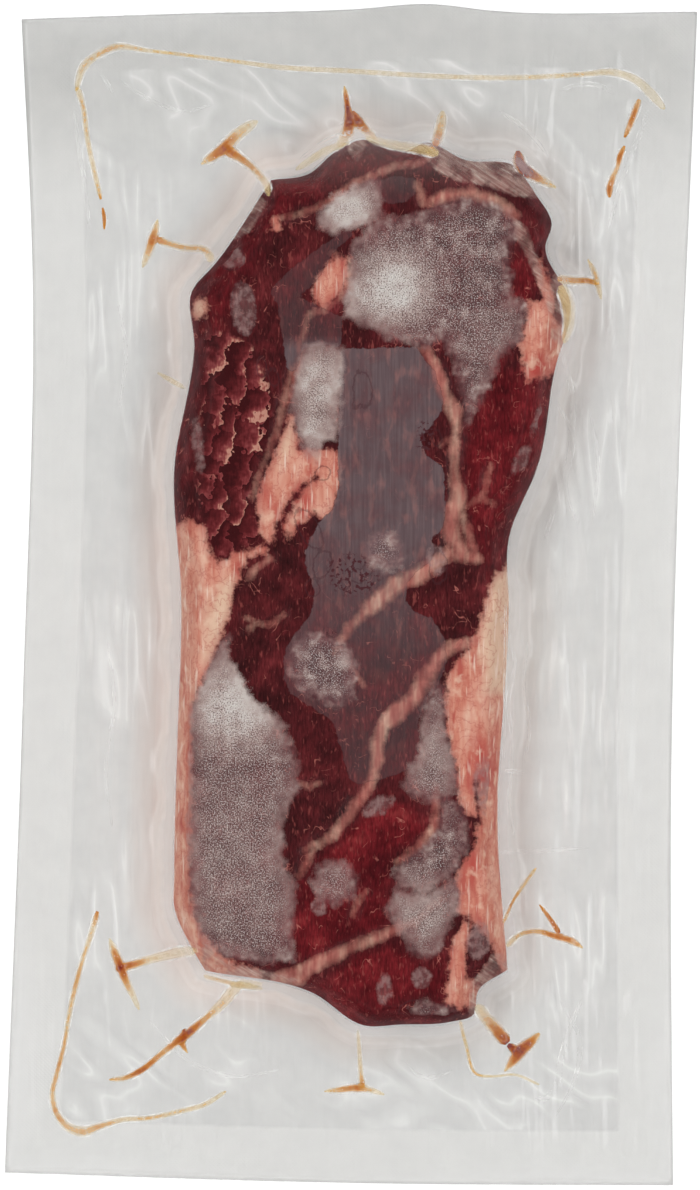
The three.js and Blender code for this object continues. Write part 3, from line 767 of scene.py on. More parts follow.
top, right, bottom, left = pack_sides
meat_top, meat_right, meat_bottom, meat_left = steak_sides
rows = [in_three(top, SPLITS["top"]), None, None, in_three(bottom, SPLITS["bottom"])]
columns = [in_three(left, SPLITS["left"]), None, None, in_three(right, SPLITS["right"])]
rows[1] = [straight(columns[0][1][0], meat_top[0]), meat_top, straight(meat_top[-1], columns[3][1][0])]
rows[2] = [straight(columns[0][1][-1], meat_bottom[0]), meat_bottom,
    straight(meat_bottom[-1], columns[3][1][-1])]
columns[1] = [straight(rows[0][1][0], meat_left[0]), meat_left, straight(meat_left[-1], rows[3][1][0])]
columns[2] = [straight(rows[0][1][-1], meat_right[0]), meat_right, straight(meat_right[-1], rows[3][1][-1])]


def block_share(cell, band, middle):
    """Which of three blocks each row or column is in, and its share of the way through that block."""
    block = np.where(cell < band, 0, np.where(cell <= band + middle, 1, 2))
    start = np.array([0, band, band + middle])[block]
    share = (cell - start) / np.array([band, middle, band])[block]
    inside = share - 0.4 * np.sin(2 * np.pi * share) / (2 * np.pi)  # closer near the rim
    return block, np.choose(block, [1 - (1 - share) ** 1.35, inside, share ** 1.35])


film = lay_grid("film_bag", ACROSS + 2 * BAND, ALONG + 2 * TALL_BAND)
grid = points_of(film) * MM
column, across_share = block_share(np.round((grid[:, 0] + 1) / 2 * (ACROSS + 2 * BAND)), BAND, ACROSS)
row, along_share = block_share(np.round((1 - grid[:, 1]) / 2 * (ALONG + 2 * TALL_BAND)), TALL_BAND, ALONG)
place = np.zeros((len(grid), 2))
for r in range(3):
    for c in range(3):
        here = (row == r) & (column == c)
        lines = rows[r][c], columns[c + 1][r], rows[r + 1][c], columns[c][r]
        place[here] = between(*lines, across_share[here], along_share[here])
move_points(film, np.column_stack([place, np.full(len(place), FLANGE)]))
print(len(place), "points,", np.ptp(place, axis=0).round(1), "mm")

# %% Close it with the lower web, divide the upper web and raise it
pick_faces(film, lambda middles: np.ones(len(middles), bool))
bpy.ops.mesh.extrude_region_move(TRANSFORM_OT_translate={"value": (0, 0, -FLANGE * MM)})
pick_faces(film, lambda middles: middles[:, 2] > FLANGE - NEARLY)
bpy.ops.mesh.subdivide(number_cuts=1)
bpy.ops.object.mode_set(mode="OBJECT")
points = points_of(film)
upper = points[:, 2] > FLANGE - NEARLY
points[upper, 2] = film_height(points[upper, :2])
points[~upper, 2] = curl(points[~upper, :2])
print(len(film.data.polygons), "faces, highest", points[:, 2].max().round(2), "mm")

# %% Cut the ends with a toothed blade
TOOTH = 0.28  # the real teeth are 1.4 mm apart; here they are as fine as the grid
END_CUT = 171  # past this far from the middle lies a cut end
ends = (depth(points[:, :2], in_pack) < 0.3) & (np.abs(points[:, 1]) > END_CUT) & upper
order = np.argsort(points[ends, 0])
tooth = np.empty(ends.sum())
tooth[order] = TOOTH * (np.arange(ends.sum()) % 2)
points[ends, 1] -= tooth * np.sign(points[ends, 1])
move_points(film, points)
face_out(film)
xy = points_of(film)[:, :2]
keep_number(film, "outside", -depth(xy, in_steak))
keep_number(film, "edge", depth(xy, in_pack))
keep_number(film, "height", points_of(film)[:, 2])
print(int(ends.sum()), "teeth")

# %% [markdown]
# ## Juice in the folds
# Where the upper web had too much length, it folded into narrow channels, most of them a T: a stem that
# leaves the steak and a bar across its end. Red juice ran along them and dried towards amber at the tips.
# Each channel is a line with a width and a redness at every point. A curve with a round bevel could be used
# as it is, but it would stand up like wire: it is made a mesh, pressed flat, and laid on the film. The film's
# own fold is a wider channel under it, with a painted highlight as a pale line on both sides.

# %% Where the juice is
JUICE = {  # x, y, width, redness
    "upper left stem": [(-24.5, 118.5, 1.5, 0.1), (-25, 121.5, 1.8, 0.2), (-29, 127.5, 1.8, 0.35),
        (-33.5, 131, 2.4, 0.5), (-37.5, 133.5, 4.2, 0.6)],
    "upper left bar": [(-45, 129, 0.9, 0.1), (-42, 131, 2.7, 0.45), (-38.5, 133.5, 3.3, 0.7),
        (-34.5, 137.5, 3.3, 0.35), (-30.5, 140.5, 2.7, 0.15), (-28, 142, 1.2, 0)],
    "left stem": [(-41.5, 99.5, 2.7, 0.1), (-43.5, 103, 1.8, 0.3), (-50, 104, 1.8, 0.3),
        (-55.5, 105.5, 1.8, 0.35), (-58, 106.5, 3, 0.5)],
    "left bar": [(-62.5, 98, 0.9, 0), (-61, 102, 2.1, 0.3), (-59.5, 106.5, 2.7, 0.6),
        (-58.5, 110, 1.8, 0.3), (-58, 112.5, 0.9, 0.1)],
    "left tick": [(-49.5, 61.5, 0.9, 0), (-53.5, 64, 1.2, 0.1), (-58, 66.5, 0.9, 0)],
    "top fold, left side": [(-3.5, 133.5, 2.4, 0.1), (-1.5, 137, 3.6, 0.4), (-0.5, 141, 3.6, 0.8),
        (-1, 146, 1.8, 0.8), (-1.5, 149.5, 1.5, 0.6), (-2, 152.5, 0.9, 0.1)],
    "top fold, right side": [(7.5, 136, 1.8, 0.2), (4.5, 139, 2.7, 0.5), (2, 142, 3, 0.8),
        (0.5, 145, 1.2, 0.6)],
    "top tick": [(25, 133.5, 2.4, 0.6), (26, 137, 2.7, 0.5), (27, 141, 2.7, 0.25), (27.5, 145, 1.8, 0.1)],
    "upper right": [(52, 125.5, 3.6, 0.9), (50.5, 129, 3.9, 0.95), (50, 133, 2.1, 0.7)],
    "upper right bar": [(51.5, 128, 3, 1), (54.5, 125.5, 3.3, 0.8), (57.5, 124, 2.4, 0.35),
        (61.5, 122, 1.2, 0.1)],
    "right stem": [(61.5, 94, 2.7, 0.35), (67, 94, 2.1, 0.45), (71.5, 94, 1.8, 0.55), (74, 93, 1.2, 0.3)],
    "right bar": [(71, 100.5, 0.9, 0.1), (73, 96.5, 1.5, 0.3), (74, 93, 1.5, 0.3), (75, 88.5, 0.9, 0)],
    "right flap": [(62.5, 92, 3.6, 0.1), (64.5, 87, 3.6, 0.15), (65, 81, 3, 0.15), (63.5, 75, 1.5, 0.1)],
    "lower right spur": [(45.5, -98, 1.2, 0.3), (48.5, -92, 0.9, 0.5), (51.5, -87.5, 1.2, 0.3),
        (55.5, -82, 0.9, 0.2)],
    "lower right stem": [(46.5, -105, 1.8, 0.2), (50.5, -102, 1.2, 0.3), (55.5, -101, 1.5, 0.4),
        (61.5, -102.5, 1.8, 0.6), (66.5, -104, 2.1, 0.5), (69.5, -106, 0.9, 0.2)],
    "lower right branch": [(56.5, -93, 0.9, 0.4), (59.5, -97, 1.2, 0.6), (62.5, -101.5, 1.8, 0.6)],
    "bottom right stem": [(37.5, -122.5, 2.4, 0.1), (40.5, -127, 3.3, 0.3), (44, -131, 3.6, 0.6),
        (47, -134.5, 3.6, 0.8)],
    "bottom right bar": [(46, -143, 0.9, 0.1), (48.5, -140, 2.7, 0.6), (50.5, -137, 3.9, 0.85),
        (53.5, -134.5, 3, 0.7), (56.5, -131.5, 1.5, 0.2)],
    "bottom right twig": [(47, -135, 2.1, 0.9), (50, -137, 2.4, 0.8)],
    "bottom right thread": [(32.5, -127, 0.9, 0.2), (34.5, -135, 0.9, 0.2), (38, -144, 0.9, 0.3),
        (42.5, -144.5, 0.6, 0.1), (49, -144, 0.6, 0.1), (56.5, -147, 0.6, 0)],
    "bottom stem": [(2, -130, 0.6, 0), (2.5, -137, 0.9, 0.05), (3, -144, 1.2, 0.3),
        (3.5, -148, 2.1, 0.5)],
    "bottom bar": [(-8, -149, 0.6, 0.1), (-3.5, -148.5, 1.8, 0.4), (2, -148, 2.4, 0.55),
        (5.5, -148.5, 1.5, 0.3), (10, -150, 0.9, 0)],
    "lower left stem": [(-46, -106, 2.4, 0), (-52.5, -107.5, 2.7, 0.05), (-60.5, -109.5, 2.1, 0.2),
        (-65.5, -111, 2.4, 0.6), (-69.5, -112, 2.4, 0.7)],
    "lower left bar": [(-72.5, -103, 0.6, 0), (-71, -107, 2.4, 0.4), (-69, -112, 2.7, 0.8),
        (-67, -117, 2.1, 0.4), (-65, -121, 1.5, 0.1), (-63.5, -124.5, 0.9, 0)],
    "bottom left stem": [(-26.5, -116.5, 1.2, 0), (-33.5, -117, 3.3, 0.1), (-38.5, -122.5, 2.7, 0.2),
        (-43.5, -127, 1.8, 0.4), (-49.5, -132, 2.7, 0.8), (-56, -137, 1.8, 0.4), (-63.5, -143, 1.8, 0.7),
        (-68, -145, 1.5, 0.4), (-72.5, -145.5, 0.9, 0.2)],
    "bottom left branch": [(-50, -131, 1.8, 0.8), (-50.5, -135, 1.8, 0.6), (-49, -137.5, 0.6, 0.2)],
}
print(len(JUICE), "channels beside the steak")

# %% Juice along the rims
RIM_JUICE = {
    "rim, top": [(-82.5, 151, 1.2, 0.1), (-80, 158.5, 2.1, 0.2), (-75.5, 162, 1.8, 0.3),
        (-71, 164, 1.8, 0.3), (-60.5, 163, 0.9, 0.2), (-39.5, 160.5, 0.9, 0.2), (-20, 158, 1.2, 0.1),
        (-0.5, 157, 1.2, 0.1), (23.5, 155.5, 1.2, 0.1), (50.5, 155, 1.2, 0.15), (70, 156, 1.2, 0.2),
        (78.5, 156.5, 1.8, 0.1), (85, 154.5, 2.1, 0.1), (91, 149, 2.4, 0), (94, 145.5, 1.2, 0)],
    "steak's rim, top left": [(-16.5, 127, 1.2, 0), (-11.5, 130.5, 2.1, 0.1), (-6.5, 133, 2.4, 0.15),
        (-1.5, 134.5, 1.8, 0.2)],
    "steak's rim, top": [(4.5, 136, 1.8, 0.1), (11.5, 134.5, 2.7, 0.15), (19, 133, 3, 0.15),
        (26, 131, 2.7, 0.1)],
    "steak's rim, bottom left": [(-44, -114, 1.2, 0.2), (-38.5, -115.5, 1.2, 0.3), (-32, -117, 1.8, 0.2),
        (-26.5, -118, 1.2, 0)],
    "rim, left": [(-82, 152, 1.8, 0.1), (-80.5, 147, 1.2, 0.3), (-79, 136.5, 1.2, 0.2),
        (-77, 127, 1.2, 0.2), (-75, 118.5, 1.2, 0.3)],
    "rim, left, strong": [(-74.5, 116, 0.9, 0.5), (-74, 113, 1.2, 0.6), (-74, 109.5, 0.9, 0.4)],
    "rim, right": [(86.5, 148.5, 1.8, 0.3), (85, 144.5, 1.8, 0.6), (83.5, 140.5, 1.8, 0.5),
        (82, 137, 1.2, 0.4)],
    "rim, right, low": [(82, 134.5, 1.2, 0.4), (80.5, 131, 1.8, 0.6), (80, 128.5, 1.2, 0.4),
        (78.5, 125, 1.8, 0.4), (77.5, 121.5, 2.1, 0.6), (77.5, 119, 1.2, 0.4)],
    "rim, lower left": [(-76, -95, 1.5, 0.5), (-77.5, -100.5, 1.5, 0.2), (-80, -108, 1.2, 0.3),
        (-82.5, -117, 1.5, 0.4), (-84.5, -126, 1.2, 0.2), (-86, -135, 1.2, 0.4), (-88, -143, 1.5, 0.4),
        (-89.5, -150, 1.5, 0.3), (-88, -156, 1.8, 0.4), (-85, -159.5, 2.1, 0.3), (-80.5, -161, 2.7, 0.3),
        (-75.5, -159.5, 1.8, 0.4), (-68.5, -157.5, 1.2, 0.2), (-60.5, -157, 1.2, 0.3),
        (-51.5, -155, 1.2, 0.2), (-44, -153, 1.2, 0.2), (-37.5, -149, 0.9, 0.1)],
}
print(len(RIM_JUICE), "channels along the rims")

# %% Folds with nothing in them
CREASES = {  # x, y, width: folds with nothing in them
    "lower right rib": [(44.5, -77, 0.9), (53.5, -77, 1.2), (62.5, -76.5, 1.2), (71.5, -76, 0.6)],
    "right rib": [(44.5, -52.5, 0.9), (49, -53, 1.2), (53, -53.5, 0.6)],
    "bottom right rim": [(69.5, -121, 0.9), (65.5, -130.5, 1.5), (63, -139, 1.8), (62, -146, 1.8),
        (58.5, -151, 1.8), (55, -151, 0.9)],
    "upper right curl": [(62.5, 151, 0.9), (68.5, 153, 1.5), (74.5, 152.5, 1.5), (79, 150, 1.2)],
    "right rim": [(89, 145, 0.9), (86.5, 138, 1.5), (83.5, 130.5, 1.5), (80, 120, 1.5), (77, 109, 0.9)],
    "corner, top left": [(-77.5, 160.5, 0.9), (-74, 155, 1.2), (-71, 149.5, 0.9)],
    "left rim": [(-83, 145.5, 0.6), (-81.5, 133.5, 1.2), (-79.5, 121.5, 1.2), (-78.5, 109.5, 0.9)],
    "right line": [(46, -1.5, 0.9), (46, -25.5, 1.2), (45.5, -49.5, 0.9)],
    "beside the steak, right": [(62.5, 75, 1.2), (66.5, 58.5, 1.8), (64.5, 37.5, 1.5), (58, 16.5, 1.2)],
    "beside the steak, top": [(-15.5, 130.5, 0.9), (-6.5, 136.5, 1.5), (2.5, 139.5, 0.9)],
    "right crumple, inner": [(47, -10.5, 0.6), (49, -21, 1.2), (47, -31.5, 1.5), (48.5, -45, 0.9),
        (47.5, -61.5, 1.2), (49, -73, 0.6)],
    "right crumple, outer": [(53, -13.5, 0.6), (52, -28.5, 0.9), (53.5, -40.5, 1.2), (52, -51, 0.6)],
    "right side, upper": [(61.5, 58.5, 0.6), (66.5, 46.5, 1.5), (64.5, 33, 1.2), (68, 19.5, 0.6)],
    "right side, upper twin": [(71.5, 55.5, 0.6), (74, 40.5, 1.2), (72.5, 22.5, 0.6)],
    "top, slanting": [(44.5, 145, 0.6), (50.5, 141, 1.5), (56.5, 135, 1.2), (59, 131.5, 0.6)],
    "top left, slanting": [(-69.5, 154.5, 0.6), (-60.5, 148.5, 1.2), (-49.5, 145, 0.9), (-41, 147, 0.6)],
    "bottom left, slanting": [(-60.5, -127.5, 0.6), (-48.5, -140, 1.2), (-34.5, -144.5, 0.9),
        (-21.5, -142.5, 0.6)],
    "bottom right, slanting": [(62.5, -121.5, 0.6), (68.5, -133.5, 1.5), (67, -145.5, 1.2),
        (61.5, -156.5, 0.6)],
    "bottom, small": [(14.5, -139.5, 0.6), (23.5, -145, 1.2), (30.5, -142.5, 0.6)],
    "left, upper": [(-70, 88.5, 0.6), (-67.5, 73.5, 1.2), (-69.5, 55.5, 0.6)],
    "left, lower": [(-73, -13.5, 0.6), (-71, -31.5, 1.2), (-73.5, -52.5, 0.9), (-71.5, -70.5, 0.6)],
}
print(len(CREASES), "empty folds")

# %% Even steps along each channel
CHANNEL_STEP = 1.0
SOFT_EDGE = 1.35  # a channel of juice is drawn this much wider, for its soft edge


def smooth_rows(rows):
    """Even steps along a smooth line through rows of numbers whose first two are a place."""
    rows = np.array(rows, float)
    length = np.linalg.norm(np.diff(rows[:, :2], axis=0), axis=1).sum()
    line = smooth_line(rows[:, :2], max(5, int(length / CHANNEL_STEP)))
    walk = np.concatenate([[0], np.cumsum(np.linalg.norm(np.diff(rows[:, :2], axis=0), axis=1))])
    share = np.linspace(0, walk[-1], len(line))
    rest = [np.interp(share, walk, rows[:, k]) for k in range(2, rows.shape[1])]
    return np.column_stack([line, *rest])


juice_lines = [smooth_rows(rows) for rows in (*JUICE.values(), *RIM_JUICE.values())]
for line in juice_lines:
    line[:, 2] *= SOFT_EDGE
print(len(juice_lines), "channels of", sum(len(line) for line in juice_lines), "steps")

# %% Raise the channels from their lines
def lay_channels(name, lines, ragged):
    """Rounded channels along lines of place and width, as one mesh."""
    curve = bpy.data.curves.new(name, "CURVE")
    curve.dimensions = "3D"
    curve.bevel_depth = 1
    curve.bevel_resolution = 3
    curve.use_fill_caps = True
    for line in lines:
        rough = 1 + ragged * wander(line[:, :2], 2.2, 2.2, 31)
        spline = curve.splines.new("POLY")
        spline.points.add(len(line) - 1)
        spline.points.foreach_set("co", np.column_stack([line[:, :2], 0 * rough, 0 * rough + 1]).ravel())
        ends = np.minimum(np.arange(len(line)), np.arange(len(line))[::-1])
        spline.points.foreach_set("radius", line[:, 2] / 2 * rough * np.clip(0.4 + ends / 3, 0, 1))
    piece = bpy.data.objects.new(name, curve)
    bpy.context.scene.collection.objects.link(piece)
    bpy.ops.object.select_all(action="DESELECT")
    piece.select_set(True)
    bpy.context.view_layer.objects.active = piece
    bpy.ops.object.convert(target="MESH")
    return bpy.context.object


juice = lay_channels("fold_juice", juice_lines, 0.35)
print(len(juice.data.polygons), "faces of juice")

# %% Press the juice flat on the film
PRESSED = 0.22  # height of a channel as a share of its width
JUICE_LIFT = 0.25  # above the film


def on_film(xy):
    """Height of the film's upper face, found by looking straight down at it."""
    hits = [film.ray_cast(Vector((x * MM, y * MM, 0.1)), Vector((0, 0, -1)))[1].z / MM for x, y in xy]
    return np.maximum(hits, FLANGE)


def press_flat(piece, lines, lift):
    """Presses channels flat onto the film, and keeps how far from the middle of its channel each point is."""
    points = points_of(piece) * MM
    rows = np.vstack(lines)
    nearest = nearest_of(points[:, :2], rows[:, :2])
    across = np.linalg.norm(points[:, :2] - rows[nearest, :2], axis=1) / (rows[nearest, 2] / 2)
    points[:, 2] = on_film(points[:, :2]) + lift + points[:, 2] * 2 * PRESSED
    move_points(piece, points)
    keep_number(piece, "across", np.clip(across, 0, 1.5))
    return rows[nearest]


keep_number(juice, "redness", press_flat(juice, juice_lines, JUICE_LIFT)[:, 3])
face_out(juice)
heights = points_of(juice)[:, 2]
print("juice lies from", heights.min().round(1), "to", heights.max().round(1), "mm up")

# %% The folds, wider than their juice
FOLD_WIDER = 0.7  # a fold is this much wider than its juice, in mm
FOLD_LIFT = 0.1  # above the film
fold_lines = [line[:, :3] + (0, 0, FOLD_WIDER) for line in juice_lines]
fold_lines += [smooth_rows(rows) for rows in CREASES.values()]
creases = lay_channels("film_creases", fold_lines, 0.25)
press_flat(creases, fold_lines, FOLD_LIFT)
face_out(creases)
# for the film, the shade it would throw is painted into its grey instead
for piece in (film, juice, creases):
    piece.visible_shadow = False  # clear film throws next to no shadow
    piece.visible_diffuse = False  # and hardly changes the light between meat and table
    piece.visible_glossy = False
print(len(creases.data.polygons), "faces of folds")

# %% [markdown]
# ## Materials
# Raw meat under film is dark and wet, so most of what the eye reads is colour and a soft shine. A material
# here is built in layers: the muscle first, then each kind of area over it, through a mask made from the
# number kept on the mesh. One helper adds a node with its settings and links; a colour is written as sRGB
# hex and turned to linear by one function. An input is named, or given by its number: in Map Range 1 and 2
# are the two values that come in and 3 and 4 what they turn into (0 and 1 where not given), and in a colour
# Mix 0 is the share, 6 the colour below and 7 the one on top.

# %% Helpers for materials
def linear(hex_code):
    """An sRGB hex colour as a linear colour with alpha."""
    channels = [int(hex_code[i:i + 2], 16) / 255 for i in (0, 2, 4)]
    return (*[c / 12.92 if c <= 0.04045 else ((c + 0.055) / 1.055) ** 2.4 for c in channels], 1)


def add(tree, kind, inputs=None, stops=(), **settings):
    """Adds a node, sets what is named, links the inputs that are sockets, and puts in a ramp's stops."""
    node = tree.nodes.new("ShaderNode" + kind)
    for name, value in settings.items():
        setattr(node, name, value)
    for name, value in (inputs or {}).items():
        if isinstance(value, bpy.types.NodeSocket):
            tree.links.new(value, node.inputs[name])
        else:
            node.inputs[name].default_value = value
    for at, shade in stops:
        node.color_ramp.elements.new(at).color = linear(shade)
    if stops:
        node.color_ramp.elements.remove(node.color_ramp.elements[-1])
        node.color_ramp.elements.remove(node.color_ramp.elements[0])
    return node


def new_material(name):
    """A material with its shader, and the place on the object that its patterns use."""
    material = bpy.data.materials.new(name)
    material.use_nodes = True
    tree = material.node_tree
    tree.nodes.clear()
    shader = add(tree, "BsdfPrincipled")
    add(tree, "OutputMaterial", {"Surface": shader.outputs[0]})
    return material, tree, shader, add(tree, "TexCoord").outputs["Object"]


print("salmon fat in linear light", [round(c, 3) for c in linear("d58f7b")])

# %% [markdown]
# ### Raw beef, frozen and thawing
# Muscle is bundles of fibres, dark red and wet. Its colour varies over centimetres, its grain over less than
# a millimetre. Each area on it is a mask: the number kept on the mesh, plus noise that makes the edge ragged.

# %% Masks on the meat
beef, tree, shader, place = new_material("raw_beef")
EDGES = {  # size of the raggedness, how far it wanders, and how soft the edge is, in mm
    "fat": (3, 2.2, 0.7), "cream": (6, 3, 2.5), "seam": (3, 0.9, 0.9), "pocket": (3, 0.9, 0.15),
    "lens": (3, 0.8, 0.5), "bubble": (2, 0.6, 0.3), "dots": (3, 1, 0.8), "coarse": (3, 1.5, 0.8),
    "bright": (6, 3, 2.5), "skin": (2, 0.8, 0.5), "stain": (3, 1.5, 2),
}
ragged = {grain: add(tree, "TexNoise",
    {"Vector": place, "Scale": 1 / (grain * MM), "Detail": 3, "Roughness": 0.65}, noise_dimensions="2D")
    for grain in (2, 3, 6)}
where = {}
for name, (grain, wandering, soft) in EDGES.items():
    kept = add(tree, "Attribute", attribute_name=name)
    moved = add(tree, "Math", {0: ragged[grain].outputs[0], 1: 2 * wandering, 2: kept.outputs["Fac"]},
        operation="MULTIPLY_ADD")
    where[name] = add(tree, "MapRange",
        {0: moved.outputs[0], 1: wandering - soft, 2: wandering + soft}).outputs[0]
print("masks", sorted(where))

# %% Muscle
clouds = add(tree, "TexNoise", {"Vector": place, "Scale": 1 / (12 * MM), "Detail": 3, "Roughness": 0.66})
dark = add(tree, "ValToRGB", {0: clouds.outputs[0]},
    stops=((0.3, "2f1012"), (0.46, "3f1518"), (0.6, "501b1e"), (0.75, "652629")))
light = add(tree, "ValToRGB", {0: clouds.outputs[0]},
    stops=((0.3, "3c0d12"), (0.5, "511217"), (0.62, "651a1f"), (0.78, "7c2f2f")))
colour = add(tree, "Mix", {0: where["bright"], 6: dark.outputs[0], 7: light.outputs[0]},
    data_type="RGBA").outputs[2]
from_rim = add(tree, "Attribute", attribute_name="rim")
# brighter red over the rounded rim: partly the rim's own redder meat, partly painted light against the shade
# of its slope
rim_red_and_painted_light = add(tree, "MapRange", {0: from_rim.outputs["Fac"], 1: 0, 2: 9, 3: 0.9, 4: 0})
colour = add(tree, "Mix", {0: rim_red_and_painted_light.outputs[0], 6: colour, 7: light.outputs[0]},
    data_type="RGBA").outputs[2]
fibre_place = add(tree, "Mapping",
    {"Vector": place, "Rotation": (0, 0, -0.3), "Scale": (1 / (0.55 * MM), 1 / (2.6 * MM), 1 / (0.55 * MM))})
fibres = add(tree, "TexNoise", {"Vector": fibre_place.outputs[0], "Scale": 1, "Detail": 2})
fibre_tint = add(tree, "MapRange", {0: fibres.outputs[0], 1: 0.28, 2: 0.72, 3: 0.62, 4: 1.38})
colour = add(tree, "VectorMath", {0: colour, "Scale": fibre_tint.outputs[0]}, operation="SCALE").outputs[0]
print(len(tree.nodes), "nodes so far")

# %% [markdown]
# Fine fat lies between the fibres too: threads that come and go. The threads are drawn where noise
# crosses its middle value, which gives thin wandering lines. Short pale dashes along the grain are
# painted highlights: glints of the lights in the wet film.

# %% Threads of fat in the muscle, and painted glints
threads = add(tree, "TexNoise", {"Vector": place, "Scale": 1 / (6 * MM), "Detail": 2, "Distortion": 0.5})
off_centre = add(tree, "Math", {0: threads.outputs[0], 1: 0.5}, operation="SUBTRACT")
thin = add(tree, "Math", {0: off_centre.outputs[0]}, operation="ABSOLUTE")
thin = add(tree, "MapRange", {0: thin.outputs[0], 1: 0.002, 2: 0.012, 3: 1, 4: 0})
few = add(tree, "MapRange", {0: ragged[6].outputs[0], 1: 0.54, 2: 0.66, 4: 0.75})
thread = add(tree, "Math", {0: thin.outputs[0], 1: few.outputs[0]}, operation="MULTIPLY")
colour = add(tree, "Mix", {0: thread.outputs[0], 6: colour, 7: linear("a9635a")}, data_type="RGBA").outputs[2]
# painted highlights: short pale dashes along the grain, the glints of the lights in the wet film
glint_place = add(tree, "Mapping",
    {"Vector": place, "Rotation": (0, 0, 0.6), "Scale": (1 / (0.9 * MM), 1 / (2.6 * MM), 1 / (2 * MM))})
glint_noise = add(tree, "TexNoise", {"Vector": glint_place.outputs[0], "Scale": 1, "Detail": 1})
painted_glint = add(tree, "MapRange", {0: glint_noise.outputs[0], 1: 0.62, 2: 0.76, 4: 0.45})
colour = add(tree, "Mix", {0: painted_glint.outputs[0], 6: colour, 7: linear("8f4743")}, data_type="RGBA").outputs[2]
print(len(tree.nodes), "nodes so far")

# %% [markdown]
# The coarse muscle is cut across its bundles. Each bundle is dark on one side, turns pink towards the other
# and ends in a pale thread. A Voronoi cell gives its own middle, and how far a point lies to one side of that
# middle gives the shading.

# %% Bundles of the coarse muscle
bend = add(tree, "TexNoise", {"Vector": place, "Scale": 1 / (7 * MM), "Detail": 3, "Roughness": 0.7},
    noise_dimensions="2D")
bend = add(tree, "VectorMath", {0: bend.outputs["Color"], "Scale": 11 * MM}, operation="SCALE")
bent = add(tree, "VectorMath", {0: place, 1: bend.outputs[0]})
bundle_place = add(tree, "Mapping",
    {"Vector": bent.outputs[0], "Rotation": (0, 0, 0.3),
        "Scale": (1 / (5.2 * MM), 1 / (9 * MM), 1 / (60 * MM))})
bundles = add(tree, "TexVoronoi", {"Vector": bundle_place.outputs[0], "Scale": 1}, voronoi_dimensions="2D")
from_middle = add(tree, "VectorMath", {0: bundle_place.outputs[0], 1: bundles.outputs["Position"]},
    operation="SUBTRACT")
to_side = add(tree, "VectorMath", {0: from_middle.outputs[0], 1: (0.85, -0.4, 0)}, operation="DOT_PRODUCT")
to_side = add(tree, "Math", {0: fibres.outputs[0], 1: 0.45, 2: to_side.outputs["Value"]},
    operation="MULTIPLY_ADD")
# its own number for each bundle
paleness = add(tree, "SeparateColor", {0: bundles.outputs["Color"]}).outputs[0]
to_side = add(tree, "Math", {0: paleness, 1: 0.45, 2: to_side.outputs[0]}, operation="MULTIPLY_ADD")
bundle = add(tree, "ValToRGB", {0: to_side.outputs[0]},
    stops=((0.1, "360f12"), (0.45, "4e191c"), (0.66, "642528"), (0.84, "7c3a3b"), (0.94, "94594f"),
        (0.99, "ae7c6d")))
colour = add(tree, "Mix", {0: where["coarse"], 6: colour, 7: bundle.outputs[0]}, data_type="RGBA").outputs[2]
print(len(tree.nodes), "nodes so far")

# %% [markdown]
# Silver skin and loose film are folded over the rim at the upper right in flat flaps. Each is a whitish
# sheet with fine streaks along it, sharp at its edge, and the meat shows through where it is thin. Part of
# that white is a painted highlight, the shine of the crumpled loose film.

# %% Silver skin on the rim, with the loose film's shine painted in
pleat_place = add(tree, "Mapping",
    {"Vector": place, "Rotation": (0, 0, -0.6), "Scale": (9 * MM, 0.9 * MM, 9 * MM)},
    vector_type="TEXTURE")
pleats = add(tree, "TexNoise", {"Vector": pleat_place.outputs[0], "Scale": 1, "Detail": 3, "Roughness": 0.6},
    noise_dimensions="2D")
skin = add(tree, "ValToRGB", {0: pleats.outputs[0]},
    stops=((0.3, "8e665e"), (0.46, "a07f77"), (0.6, "b09488"), (0.76, "c8b8ae")))
# how much of the flap shows: silver skin, and the loose film's painted highlight
skin_and_painted_shine_cover = add(tree, "MapRange", {0: ragged[6].outputs[0], 1: 0.38, 2: 0.6, 3: 0.2, 4: 0.7})
skin_and_painted_shine_cover = add(tree, "Math", {0: where["skin"], 1: skin_and_painted_shine_cover.outputs[0]}, operation="MULTIPLY")
print(len(tree.nodes), "nodes so far")

# %% [markdown]
# ### Fat
# Beef fat is salmon pink where it is moist, and cream where it is thick and dry. Long soft streaks run along
# each strap, red stains it in patches, and its edge is stained by the meat.

# %% The fat's own shades
streak_place = add(tree, "Mapping", {"Vector": place, "Scale": (1 / (3 * MM), 1 / (15 * MM), 1 / (8 * MM))})
streaks = add(tree, "TexNoise",
    {"Vector": streak_place.outputs[0], "Scale": 1, "Detail": 2, "Roughness": 0.7})
fat_base = add(tree, "ValToRGB", {0: streaks.outputs[0]},
    stops=((0.3, "a9574c"), (0.42, "bb7765"), (0.54, "c48976"), (0.68, "cb9a87"), (0.8, "d0ab96")))
stained = add(tree, "MapRange", {0: clouds.outputs[0], 1: 0.54, 2: 0.74, 4: 0.5})
stained = add(tree, "Math", {0: where["stain"], 1: 0.8, 2: stained.outputs[0]},
    operation="MULTIPLY_ADD", use_clamp=True)
veins = add(tree, "TexNoise", {"Vector": place, "Scale": 1 / (3.5 * MM), "Detail": 3})
vein = add(tree, "Math", {0: veins.outputs[0], 1: 0.47}, operation="SUBTRACT")
vein = add(tree, "Math", {0: vein.outputs[0]}, operation="ABSOLUTE")
vein = add(tree, "MapRange", {0: vein.outputs[0], 1: 0, 2: 0.03, 3: 0.5, 4: 0})
pale = add(tree, "MapRange", {0: veins.outputs[0], 1: 0.56, 2: 0.7, 4: 0.6})
